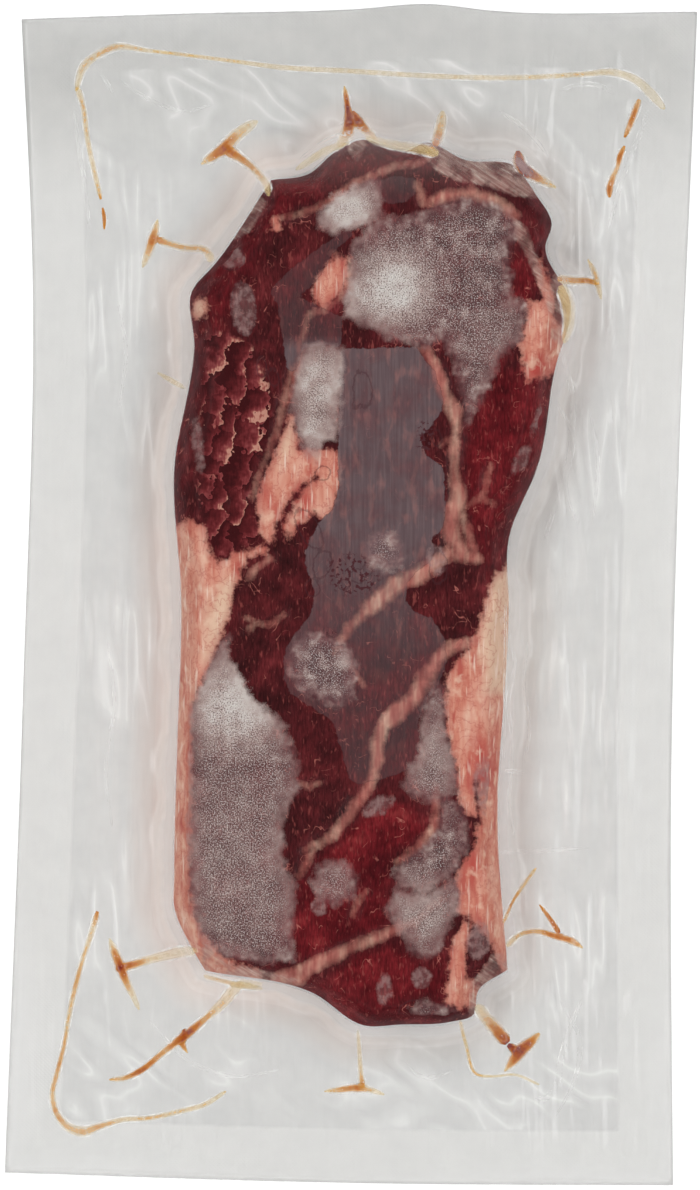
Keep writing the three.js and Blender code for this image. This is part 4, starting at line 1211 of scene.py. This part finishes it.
strand_place = add(tree, "Mapping",
    {"Vector": place, "Rotation": (0, 0, 0.08), "Scale": (1 / (0.8 * MM), 1 / (9 * MM), 1 / (4 * MM))})
strands = add(tree, "TexNoise", {"Vector": strand_place.outputs[0], "Scale": 1, "Detail": 1})
strand = add(tree, "MapRange", {0: strands.outputs[0], 1: 0.6, 2: 0.74, 4: 0.7})
kept_fat = add(tree, "Attribute", attribute_name="fat")
edge_stain = add(tree, "MapRange", {0: kept_fat.outputs["Fac"], 1: 0, 2: 2.4, 3: 0.6, 4: 0})
FAT_LAYERS = (  # how much of each lies over those before it, and its shade
    (stained.outputs[0], "a8463f"), (where["cream"], "cba992"), (vein.outputs[0], "a45149"),
    (pale.outputs[0], "d3b09a"), (strand.outputs[0], "dcc4b4"), (edge_stain.outputs[0], "9a5049"),
)
fat_colour = fat_base.outputs[0]
for cover, shade in FAT_LAYERS:
    fat_colour = add(tree, "Mix", {0: cover, 6: fat_colour, 7: linear(shade)}, data_type="RGBA").outputs[2]
print(len(FAT_LAYERS), "layers on the fat")

# %% Fat and seams over the muscle
seam_colour = add(tree, "ValToRGB", {0: streaks.outputs[0]},
    stops=((0.3, "96544d"), (0.45, "a8695f"), (0.6, "bb8878"), (0.75, "c9a390")))
colour = add(tree, "Mix", {0: where["fat"], 6: colour, 7: fat_colour}, data_type="RGBA").outputs[2]
seam_cover = add(tree, "MapRange", {0: clouds.outputs[0], 1: 0.4, 2: 0.58, 3: 0.7, 4: 0.95})
seam_cover = add(tree, "Math", {0: where["seam"], 1: seam_cover.outputs[0]}, operation="MULTIPLY")
colour = add(tree, "Mix", {0: seam_cover.outputs[0], 6: colour, 7: seam_colour.outputs[0]},
    data_type="RGBA").outputs[2]
colour = add(tree, "Mix", {0: skin_and_painted_shine_cover.outputs[0], 6: colour, 7: skin.outputs[0]},
    data_type="RGBA").outputs[2]
print(len(tree.nodes), "nodes so far")

# %% [markdown]
# ### Veil of trapped air
# Behind trapped air the meat shows through a greyish mauve veil with fine upright streaks. The wet meat at
# its edge, and round each small bubble in it, draws a dark line. A line comes from a mask times its opposite.

# %% Veil
rib_place = add(tree, "Mapping", {"Vector": place, "Scale": (1 / (0.7 * MM), 1 / (16 * MM), 1 / (16 * MM))})
ribs = add(tree, "TexNoise", {"Vector": rib_place.outputs[0], "Scale": 1, "Detail": 1}, noise_dimensions="2D")
veil = add(tree, "ValToRGB", {0: ribs.outputs[0]}, stops=((0.3, "5a4a4d"), (0.5, "5e4e51"), (0.7, "645456")))
blotch_place = add(tree, "Mapping", {"Vector": place, "Scale": (1 / (2.5 * MM), 1 / (7 * MM), 1 / (7 * MM))})
blotches = add(tree, "TexNoise", {"Vector": blotch_place.outputs[0], "Scale": 1, "Detail": 2},
    noise_dimensions="2D")
pink = add(tree, "MapRange", {0: blotches.outputs[0], 1: 0.54, 2: 0.76, 4: 0.5})
veil = add(tree, "Mix", {0: pink.outputs[0], 6: veil.outputs[0], 7: linear("8f6561")}, data_type="RGBA")
along = add(tree, "SeparateXYZ", {0: place}).outputs["Y"]
upper = add(tree, "MapRange", {0: along, 1: 73 * MM, 2: 77 * MM, 3: 1, 4: 0.3})
lower = add(tree, "MapRange", {0: along, 1: -25 * MM, 2: 20 * MM, 3: 0.35, 4: 1})
thin_veil = add(tree, "MapRange", {0: clouds.outputs[0], 1: 0.4, 2: 0.62, 3: 0.92, 4: 0.68})
thin_veil = add(tree, "Math", {0: thin_veil.outputs[0], 1: upper.outputs[0]}, operation="MULTIPLY")
thin_veil = add(tree, "Math", {0: thin_veil.outputs[0], 1: lower.outputs[0]}, operation="MULTIPLY")
through = add(tree, "MapRange", {0: where["seam"], 3: 1, 4: 0.45})
thin_veil = add(tree, "Math", {0: thin_veil.outputs[0], 1: through.outputs[0]}, operation="MULTIPLY")
veil_cover = add(tree, "Math", {0: where["pocket"], 1: thin_veil.outputs[0]}, operation="MULTIPLY")
colour = add(tree, "Mix", {0: veil_cover.outputs[0], 6: colour, 7: veil.outputs[2]},
    data_type="RGBA").outputs[2]
print(len(tree.nodes), "nodes so far")

# %% The veil's wet edge, its bubbles and dots, and the lenses of air
for name, strength in (("pocket", 1.7), ("bubble", 1.9)):
    inverse = add(tree, "Math", {0: 1, 1: where[name]}, operation="SUBTRACT")
    line = add(tree, "Math", {0: where[name], 1: inverse.outputs[0]}, operation="MULTIPLY")
    line = add(tree, "Math", {0: line.outputs[0], 1: strength}, operation="MULTIPLY")
    colour = add(tree, "Mix", {0: line.outputs[0], 6: colour, 7: linear("3d2226")},
        data_type="RGBA").outputs[2]
spots = add(tree, "TexNoise", {"Vector": place, "Scale": 1 / (1.3 * MM), "Detail": 2}, noise_dimensions="2D")
spots = add(tree, "MapRange", {0: spots.outputs[0], 1: 0.54, 2: 0.6})
spots = add(tree, "Math", {0: spots.outputs[0], 1: where["dots"]}, operation="MULTIPLY")
colour = add(tree, "Mix", {0: spots.outputs[0], 6: colour, 7: linear("452428")}, data_type="RGBA").outputs[2]
lens_tone = add(tree, "Mix", {0: glint_noise.outputs[0], 6: linear("6d4d4e"), 7: linear("a58c88")},
    data_type="RGBA")
lens_cover = add(tree, "MapRange", {0: ragged[3].outputs[0], 1: 0.4, 2: 0.6, 3: 0.2, 4: 0.6})
lens_cover = add(tree, "Math", {0: where["lens"], 1: lens_cover.outputs[0]}, operation="MULTIPLY")
colour = add(tree, "Mix", {0: lens_cover.outputs[0], 6: colour, 7: lens_tone.outputs[2]},
    data_type="RGBA").outputs[2]
print(len(tree.nodes), "nodes so far")

# %% [markdown]
# ### Frost
# Frost is needles of ice well under a millimetre long, on the inside of the film. Where it is thick it is an
# even pale grey, where it is thin the meat shows between the needles as fine dark specks, and at its border
# there is a smooth mauve haze with no specks. The specks are drawn 0.4 mm wide so that they show.

# %% Frost
needles = add(tree, "TexNoise", {"Vector": place, "Scale": 1 / (0.42 * MM), "Detail": 1, "Roughness": 0.9},
    noise_dimensions="2D")
kept_frost = add(tree, "Attribute", attribute_name="frost")
drift = add(tree, "TexNoise", {"Vector": place, "Scale": 1 / (4 * MM), "Detail": 2}, noise_dimensions="2D")
reach = add(tree, "Math", {0: drift.outputs[0], 1: 4.0, 2: kept_frost.outputs["Fac"]},
    operation="MULTIPLY_ADD")
reach = add(tree, "Math", {0: needles.outputs[0], 1: 1.5, 2: reach.outputs[0]}, operation="MULTIPLY_ADD")
haze = add(tree, "MapRange", {0: reach.outputs[0], 1: 1.9, 2: 4.0})
kept_thick = add(tree, "Attribute", attribute_name="thick")
patches = add(tree, "TexNoise", {"Vector": place, "Scale": 1 / (5 * MM), "Detail": 2, "Roughness": 0.7},
    noise_dimensions="2D")
# thin frost has gaps
uneven = add(tree, "MapRange", {0: kept_thick.outputs["Fac"], 1: 0, 2: 0.12, 3: 1.5, 4: 0.5})
patches = add(tree, "Math", {0: patches.outputs[0], 1: 0.5}, operation="SUBTRACT")
thick = add(tree, "Math", {0: patches.outputs[0], 1: uneven.outputs[0], 2: 0.17}, operation="MULTIPLY_ADD")
thick = add(tree, "Math", {0: kept_thick.outputs["Fac"], 1: 0.75, 2: thick.outputs[0]},
    operation="MULTIPLY_ADD")
haze_cover = add(tree, "MapRange", {0: thick.outputs[0], 1: 0, 2: 0.7, 3: 0.3, 4: 0.93})
haze_cover = add(tree, "Math", {0: haze.outputs[0], 1: haze_cover.outputs[0]}, operation="MULTIPLY")
haze_colour = add(tree, "ValToRGB", {0: thick.outputs[0]},
    stops=((0.03, "7d5c5d"), (0.25, "917370"), (0.55, "ab9892"), (0.9, "c6c1bc")))
colour = add(tree, "Mix", {0: haze_cover.outputs[0], 6: colour, 7: haze_colour.outputs[0]},
    data_type="RGBA").outputs[2]
print(len(tree.nodes), "nodes so far")

# %% Dark specks and bright needles in the frost
specked = add(tree, "MapRange", {0: reach.outputs[0], 1: 4, 2: 9})
# how high the dark level stands
pitted = add(tree, "MapRange", {0: thick.outputs[0], 1: 0, 2: 0.9, 3: 0.53, 4: 0.42})
pits = add(tree, "Math", {0: pitted.outputs[0], 1: needles.outputs[0]}, operation="SUBTRACT")
pits = add(tree, "MapRange", {0: pits.outputs[0], 1: 0, 2: 0.1, 4: 0.8})
pits = add(tree, "Math", {0: specked.outputs[0], 1: pits.outputs[0]}, operation="MULTIPLY")
colour = add(tree, "Mix", {0: pits.outputs[0], 6: colour, 7: linear("45302f")}, data_type="RGBA").outputs[2]
bright_needles = add(tree, "MapRange", {0: needles.outputs[0], 1: 0.54, 2: 0.68, 4: 0.45})
bright_needles = add(tree, "Math", {0: specked.outputs[0], 1: bright_needles.outputs[0]},
    operation="MULTIPLY")
colour = add(tree, "Mix", {0: bright_needles.outputs[0], 6: colour, 7: linear("d9d6d2")},
    data_type="RGBA").outputs[2]
print(len(tree.nodes), "nodes so far")

# %% Shine and relief of the meat
dry = add(tree, "Math", {0: haze.outputs[0], 1: where["pocket"]}, operation="MAXIMUM")
# a sharp shine there would be a grey band
steep = add(tree, "MapRange", {0: from_rim.outputs["Fac"], 1: 6, 2: 11, 3: 1, 4: 0})
dry = add(tree, "Math", {0: dry.outputs[0], 1: steep.outputs[0]}, operation="MAXIMUM")
roughness = add(tree, "MapRange", {0: dry.outputs[0], 3: 0.33, 4: 0.65})
on_frost = add(tree, "MapRange", {0: kept_frost.outputs["Fac"], 1: 0, 2: 2})
heights = add(tree, "Mix", {0: on_frost.outputs[0], 2: fibres.outputs[0], 3: needles.outputs[0]})
relief = add(tree, "Bump", {"Height": heights.outputs[0], "Strength": 0.45, "Distance": 0.3 * MM})
tree.links.new(colour, shader.inputs["Base Color"])
tree.links.new(roughness.outputs[0], shader.inputs["Roughness"])
tree.links.new(relief.outputs[0], shader.inputs["Normal"])
shader.inputs["IOR"].default_value = 1.38
shader.inputs["Specular IOR Level"].default_value = 0.08
shader.inputs["Coat Weight"].default_value = 0.02  # the film's own shine, which lies on the meat
shader.inputs["Coat Roughness"].default_value = 0.1
meat.data.materials.append(beef)
print(beef.name, len(tree.nodes), "nodes")

# %% [markdown]
# ### Film
# The pack is a clear polyamide and polyethylene laminate. One layer is nearly invisible, but two on each
# other, wrinkled and with a lattice pressed into the weld, look milky grey on a white table. Its colour
# comes more from how much of the table it hides than from a pigment, so it is see-through: almost wholly
# over the meat, half outside.

# %% How much the film hides
film_look, tree, shader, place = new_material("clear_laminate_film")
outside = add(tree, "Attribute", attribute_name="outside")
edge = add(tree, "Attribute", attribute_name="edge")
patch = add(tree, "TexNoise", {"Vector": place, "Scale": 1 / (9 * MM), "Detail": 2}, noise_dimensions="2D")
starts = add(tree, "Math", {0: patch.outputs[0], 1: 1.2, 2: outside.outputs["Fac"]}, operation="MULTIPLY_ADD")
starts = add(tree, "MapRange", {0: starts.outputs[0], 1: 0, 2: 0.6, 3: 0.002, 4: 1})
cover = add(tree, "MapRange", {0: outside.outputs["Fac"], 1: 4, 2: 14, 3: 0.8, 4: 0.63})
milky = add(tree, "Math", {0: starts.outputs[0], 1: cover.outputs[0]}, operation="MULTIPLY")
height = add(tree, "Attribute", attribute_name="height")
# thin and clear where it was drawn
stretched = add(tree, "MapRange", {0: height.outputs["Fac"], 1: 1.8, 2: 5, 3: 1, 4: 0.5})
milky = add(tree, "Math", {0: milky.outputs[0], 1: stretched.outputs[0]}, operation="MULTIPLY")
weld = add(tree, "MapRange", {0: edge.outputs["Fac"], 1: 16.5, 2: 15.5})
places = add(tree, "SeparateXYZ", {0: place}).outputs
leftward = add(tree, "MapRange", {0: places["X"], 1: -20 * MM, 2: 20 * MM, 3: 1, 4: 0.4})
# painted light: lighter, pinkish film beside the steak, strongest on the left, for light bounced from the
# meat into the shade there
painted_bounce_blush = add(tree, "MapRange", {0: outside.outputs["Fac"], 1: 3, 2: 15, 3: 1, 4: 0})
painted_bounce_blush = add(tree, "Math", {0: painted_bounce_blush.outputs[0], 1: leftward.outputs[0]}, operation="MULTIPLY")
to_end = add(tree, "Math", {0: places["Y"]}, operation="ABSOLUTE")
to_end = add(tree, "MapRange", {0: to_end.outputs[0], 1: 118 * MM, 2: 140 * MM})
# painted shade: towards the top end the film hides more of the table and its weld is less pale, as less light
# falls there
painted_shade_at_top = add(tree, "MapRange", {0: places["Y"], 1: 118 * MM, 2: 150 * MM, 4: 0.2})
paler = add(tree, "Math", {0: painted_shade_at_top.outputs[0], 1: -1.8, 2: 0.36}, operation="MULTIPLY_ADD", use_clamp=True)
paler = add(tree, "Math", {0: weld.outputs[0], 1: paler.outputs[0]}, operation="MULTIPLY")
hidden = add(tree, "Math", {0: weld.outputs[0], 1: 0.05, 2: milky.outputs[0]}, operation="MULTIPLY_ADD")
hidden = add(tree, "Math", {0: painted_shade_at_top.outputs[0], 1: hidden.outputs[0]}, use_clamp=True)
print(len(tree.nodes), "nodes so far")

# %% [markdown]
# The relief has three scales: the lattice pressed into the weld, fine creep lines along the pack, and flat
# faces of loose film that meet in ridges. Noise that is folded back on itself gives such faces: they run
# along the sides, and slant at both ends. Some areas are crumpled and others nearly smooth.

# %% The film's relief
lattice = []
for turn in (math.radians(45), math.radians(-45)):
    turned = add(tree, "Mapping", {"Vector": place, "Rotation": (0, 0, turn)})
    lattice.append(add(tree, "TexWave",
        {"Vector": turned.outputs[0], "Scale": 1 / (2.6 * MM)}).outputs["Fac"])
pressed = add(tree, "Math", {0: lattice[0], 1: lattice[1]}, operation="MULTIPLY")
pressed = add(tree, "Math", {0: pressed.outputs[0], 1: weld.outputs[0]}, operation="MULTIPLY")
creep_place = add(tree, "Mapping", {"Vector": place, "Scale": (1 / (2.2 * MM), 1 / (26 * MM), 1 / (26 * MM))})
creep = add(tree, "TexNoise", {"Vector": creep_place.outputs[0], "Scale": 1, "Detail": 1},
    noise_dimensions="2D")
loose = add(tree, "MapRange", {0: outside.outputs["Fac"], 1: 0, 2: 8})
creep = add(tree, "Math", {0: creep.outputs[0], 1: loose.outputs[0]}, operation="MULTIPLY")
heights = add(tree, "Math", {0: pressed.outputs[0], 1: 0.15, 2: creep.outputs[0]}, operation="MULTIPLY_ADD")
planes = []
for turn, wide, long in ((0.04, 8, 60), (0.9, 13, 34)):  # along the sides, and slanting at both ends
    turned = add(tree, "Mapping", {"Vector": place, "Rotation": (0, 0, turn),
        "Scale": (wide * MM, long * MM, long * MM)}, vector_type="TEXTURE")
    fold = add(tree, "TexNoise", {"Vector": turned.outputs[0], "Scale": 1, "Detail": 1},
        noise_dimensions="2D")
    fold = add(tree, "Math", {0: fold.outputs[0], 1: 4.0}, operation="MULTIPLY")
    planes.append(add(tree, "Math", {0: fold.outputs[0], 1: 0.5}, operation="PINGPONG").outputs[0])
plane = add(tree, "Mix", {0: to_end.outputs[0], 2: planes[0], 3: planes[1]})
loose_only = add(tree, "Math", {0: loose.outputs[0], 1: weld.outputs[0]},
    operation="SUBTRACT", use_clamp=True)
plane = add(tree, "Math", {0: plane.outputs[0], 1: loose_only.outputs[0]}, operation="MULTIPLY")
areas = add(tree, "TexNoise", {"Vector": place, "Scale": 1 / (28 * MM), "Detail": 0}, noise_dimensions="2D")
crumpled = add(tree, "MapRange", {0: areas.outputs[0], 1: 0.44, 2: 0.6, 3: 0.12, 4: 1})
plane = add(tree, "Math", {0: plane.outputs[0], 1: crumpled.outputs[0]}, operation="MULTIPLY")
heights = add(tree, "Math", {0: plane.outputs[0], 1: 2.4, 2: heights.outputs[0]}, operation="MULTIPLY_ADD")
relief = add(tree, "Bump", {"Height": heights.outputs[0], "Strength": 0.6, "Distance": 0.35 * MM})
print(len(tree.nodes), "nodes so far")

# %% The film's colour and painted shine
# painted highlights: a pale line along each ridge of the loose film and soft light on its faces, mixed into
# its colour
ridge = add(tree, "MapRange", {0: plane.outputs[0], 1: 0.3, 2: 0.5, 4: 0.36})  # the line where two faces meet
painted_face_light = add(tree, "MapRange", {0: plane.outputs[0], 1: 0.1, 2: 0.5, 4: 0.22})
shine = add(tree, "Math", {0: ridge.outputs[0], 1: painted_face_light.outputs[0]}, operation="MAXIMUM")
# the film's grey is partly its own milky look and partly painted shade, standing in for the shadow it does
# not throw
film_colour = add(tree, "Mix", {0: patch.outputs[0], 6: linear("b0b0ae"), 7: linear("c0bfbc")},
    data_type="RGBA").outputs[2]
for cover, shade in ((painted_bounce_blush, "e2d3ca"), (paler, "e2e1de"), (shine, "f6f5f3")):
    film_colour = add(tree, "Mix", {0: cover.outputs[0], 6: film_colour, 7: linear(shade)},
        data_type="RGBA").outputs[2]
tree.links.new(film_colour, shader.inputs["Base Color"])
tree.links.new(hidden.outputs[0], shader.inputs["Alpha"])
tree.links.new(relief.outputs[0], shader.inputs["Normal"])
# no hard glint down the steep side
shine_loss = add(tree, "MapRange", {0: outside.outputs["Fac"], 1: 1, 2: 8, 3: 0.6, 4: 0.2})
tree.links.new(shine_loss.outputs[0], shader.inputs["Roughness"])
shader.inputs["IOR"].default_value = 1.45
film.data.materials.append(film_look)
print(film_look.name, len(tree.nodes), "nodes")

# %% [markdown]
# The lower web is the same laminate, but it stayed flat on the table. Seen through the upper one it only
# takes a little of the light away, so it is an even pale grey, half see-through, and clear under the meat.

# %% Lower web
web_look, tree, shader, place = new_material("flat_lower_web")
outside = add(tree, "Attribute", attribute_name="outside")
hidden = add(tree, "MapRange", {0: outside.outputs["Fac"], 1: -3, 2: -1, 3: 0.002, 4: 0.5})
tree.links.new(hidden.outputs[0], shader.inputs["Alpha"])
shader.inputs["Base Color"].default_value = linear("b9b9b6")
shader.inputs["Roughness"].default_value = 0.25
shader.inputs["IOR"].default_value = 1.5
film.data.materials.append(web_look)
facing = np.zeros(len(film.data.polygons) * 3)
film.data.polygons.foreach_get("normal", facing)
under = facing.reshape(-1, 3)[:, 2] < -0.5
film.data.polygons.foreach_set("material_index", under.astype(np.int32))
print(web_look.name, "on", int(under.sum()), "faces that look down")

# %% [markdown]
# ### Juice and folds
# Meat juice is a clear red liquid that dries amber. It is red where it is deep, and thins out to pale yellow
# at its edge, with a few tiny bubbles in it. The fold that holds it only bends the light: it is clear along
# its middle, and the white line down each side is a painted highlight.

# %% Juice
juice_look, tree, shader, place = new_material("dried_meat_juice")
redness = add(tree, "Attribute", attribute_name="redness")
across = add(tree, "Attribute", attribute_name="across")
spots = add(tree, "TexNoise", {"Vector": place, "Scale": 1 / (1.4 * MM), "Detail": 3})
deep = add(tree, "Math", {0: across.outputs["Fac"], 1: -0.5, 2: redness.outputs["Fac"]},
    operation="MULTIPLY_ADD")
deep = add(tree, "Math", {0: spots.outputs[0], 1: 0.5, 2: deep.outputs[0]}, operation="MULTIPLY_ADD")
juice_colour = add(tree, "ValToRGB", {0: deep.outputs[0]},
    stops=((0.2, "d6b968"), (0.42, "c48c32"), (0.66, "ae661a"), (0.85, "924216"), (0.98, "72241c")))
soft_edge = add(tree, "MapRange", {0: across.outputs["Fac"], 1: 0.55, 2: 1.0, 3: 1, 4: 0})
cover = add(tree, "MapRange", {0: deep.outputs[0], 1: 0.13, 2: 0.66, 3: 0.22, 4: 0.93})
cover = add(tree, "Math", {0: cover.outputs[0], 1: soft_edge.outputs[0]}, operation="MULTIPLY")
# it dries first along its edge
dried = add(tree, "Math", {0: across.outputs["Fac"], 1: 0.7}, operation="SUBTRACT")
dried = add(tree, "Math", {0: dried.outputs[0]}, operation="ABSOLUTE")
dried = add(tree, "MapRange", {0: dried.outputs[0], 1: 0, 2: 0.2, 3: 0.42, 4: 0})
cover = add(tree, "Math", {0: cover.outputs[0], 1: dried.outputs[0]}, operation="MAXIMUM")
print(len(tree.nodes), "nodes so far")

# %% Bubbles and the dried edge of the juice
froth = add(tree, "TexVoronoi", {"Vector": place, "Scale": 1 / (1.1 * MM)})
froth = add(tree, "MapRange", {0: froth.outputs["Distance"], 1: 0.16, 2: 0.24, 3: 0.7, 4: 0})
few = add(tree, "MapRange", {0: spots.outputs[0], 1: 0.56, 2: 0.64})
froth = add(tree, "Math", {0: froth.outputs[0], 1: few.outputs[0]}, operation="MULTIPLY")
line_tone = add(tree, "Mix", {0: dried.outputs[0], 6: juice_colour.outputs[0], 7: linear("b98a3a")},
    data_type="RGBA")
juice_tone = add(tree, "Mix", {0: froth.outputs[0], 6: line_tone.outputs[2], 7: linear("efe6d6")},
    data_type="RGBA")
tree.links.new(juice_tone.outputs[2], shader.inputs["Base Color"])
tree.links.new(cover.outputs[0], shader.inputs["Alpha"])
shader.inputs["Roughness"].default_value = 0.18
shader.inputs["IOR"].default_value = 1.35
juice.data.materials.append(juice_look)
print(juice_look.name, len(tree.nodes), "nodes")

# %% Folds
fold_look, tree, shader, place = new_material("creased_clear_film")
across = add(tree, "Attribute", attribute_name="across")
glints = add(tree, "TexNoise", {"Vector": place, "Scale": 1 / (4 * MM), "Detail": 3})
glint = add(tree, "MapRange", {0: glints.outputs[0], 1: 0.38, 2: 0.66, 3: 0.04, 4: 0.62})
# painted highlight: a white line down each side of the fold, where the glint noise lets it show
painted_side_highlight = add(tree, "MapRange", {0: across.outputs["Fac"], 1: 0.5, 2: 0.8, 3: 0.1, 4: 1})
outer = add(tree, "MapRange", {0: across.outputs["Fac"], 1: 0.85, 2: 1.1, 3: 1, 4: 0})
cover = add(tree, "Math", {0: glint.outputs[0], 1: painted_side_highlight.outputs[0]}, operation="MULTIPLY")
cover = add(tree, "Math", {0: cover.outputs[0], 1: outer.outputs[0]}, operation="MULTIPLY")
tree.links.new(cover.outputs[0], shader.inputs["Alpha"])
shader.inputs["Base Color"].default_value = linear("f1f0ed")
shader.inputs["Roughness"].default_value = 0.15
creases.data.materials.append(fold_look)
print(fold_look.name, len(tree.nodes), "nodes")

# %% [markdown]
# ## Table and light
# The pack lies on a plain white table, lit so evenly that the table itself is pure white. As on a copy
# stand, two long soft boxes stand left and right at about 40 degrees, so a flat face mirrors neither of
# them, and each wrinkle along the pack shows one as a streak. Two weaker ones stand at the ends, so the
# steak throws hardly any shadow.

# %% Table
bpy.ops.object.select_all(action="DESELECT")
bpy.ops.mesh.primitive_plane_add(size=6, location=(0, 0, -0.0002))
table = bpy.context.object
table.name = "table"
white, tree, shader, place = new_material("white_table")
shader.inputs["Base Color"].default_value = linear("fafafa")
shader.inputs["Roughness"].default_value = 0.9
shader.inputs["Specular IOR Level"].default_value = 0.1
table.data.materials.append(white)
print("table", table.dimensions[:2])

# %% Light
SOFT_BOXES = {  # place, turn in degrees, size in metres, and power
    "left_box": ((-1.3, 0, 1.6), (0, -38, 0), (0.6, 2.2), 20.5),
    "right_box": ((1.3, 0, 1.6), (0, 38, 0), (0.6, 2.2), 21.5),
    "far_box": ((0, 1.5, 1.6), (-42, 0, 0), (1.8, 0.6), 15),
    "near_box": ((0, -1.5, 1.6), (42, 0, 0), (1.8, 0.6), 15),
}
for name, (spot, turn, size, power) in SOFT_BOXES.items():
    lamp = bpy.data.lights.new(name, "AREA")
    lamp.shape = "RECTANGLE"
    lamp.size, lamp.size_y = size
    lamp.energy = power
    box = bpy.data.objects.new(name, lamp)
    box.location = spot
    box.rotation_euler = [math.radians(a) for a in turn]
    bpy.context.scene.collection.objects.link(box)
world = bpy.data.worlds.new("studio")
world.use_nodes = True
world.node_tree.nodes["Background"].inputs["Color"].default_value = (1, 1, 1, 1)
world.node_tree.nodes["Background"].inputs["Strength"].default_value = 0.1
bpy.context.scene.world = world
bpy.context.scene.view_settings.view_transform = "Standard"
print("lights", sorted(SOFT_BOXES))

# %% [markdown]
# ## Put it on the model
# The pieces move with the model's one body. Meat and film stand for the solids of the same shape, so those
# are hidden.

# %% Ride and replace
for piece, slot in ((meat, "beef"), (film, "film"), (juice, "purge"), (creases, "film")):
    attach(piece, "root")
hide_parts("steak")
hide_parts("vacuum_pack")
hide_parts("vacuum_pack")
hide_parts("vacuum_pack")
bpy.context.view_layer.update()
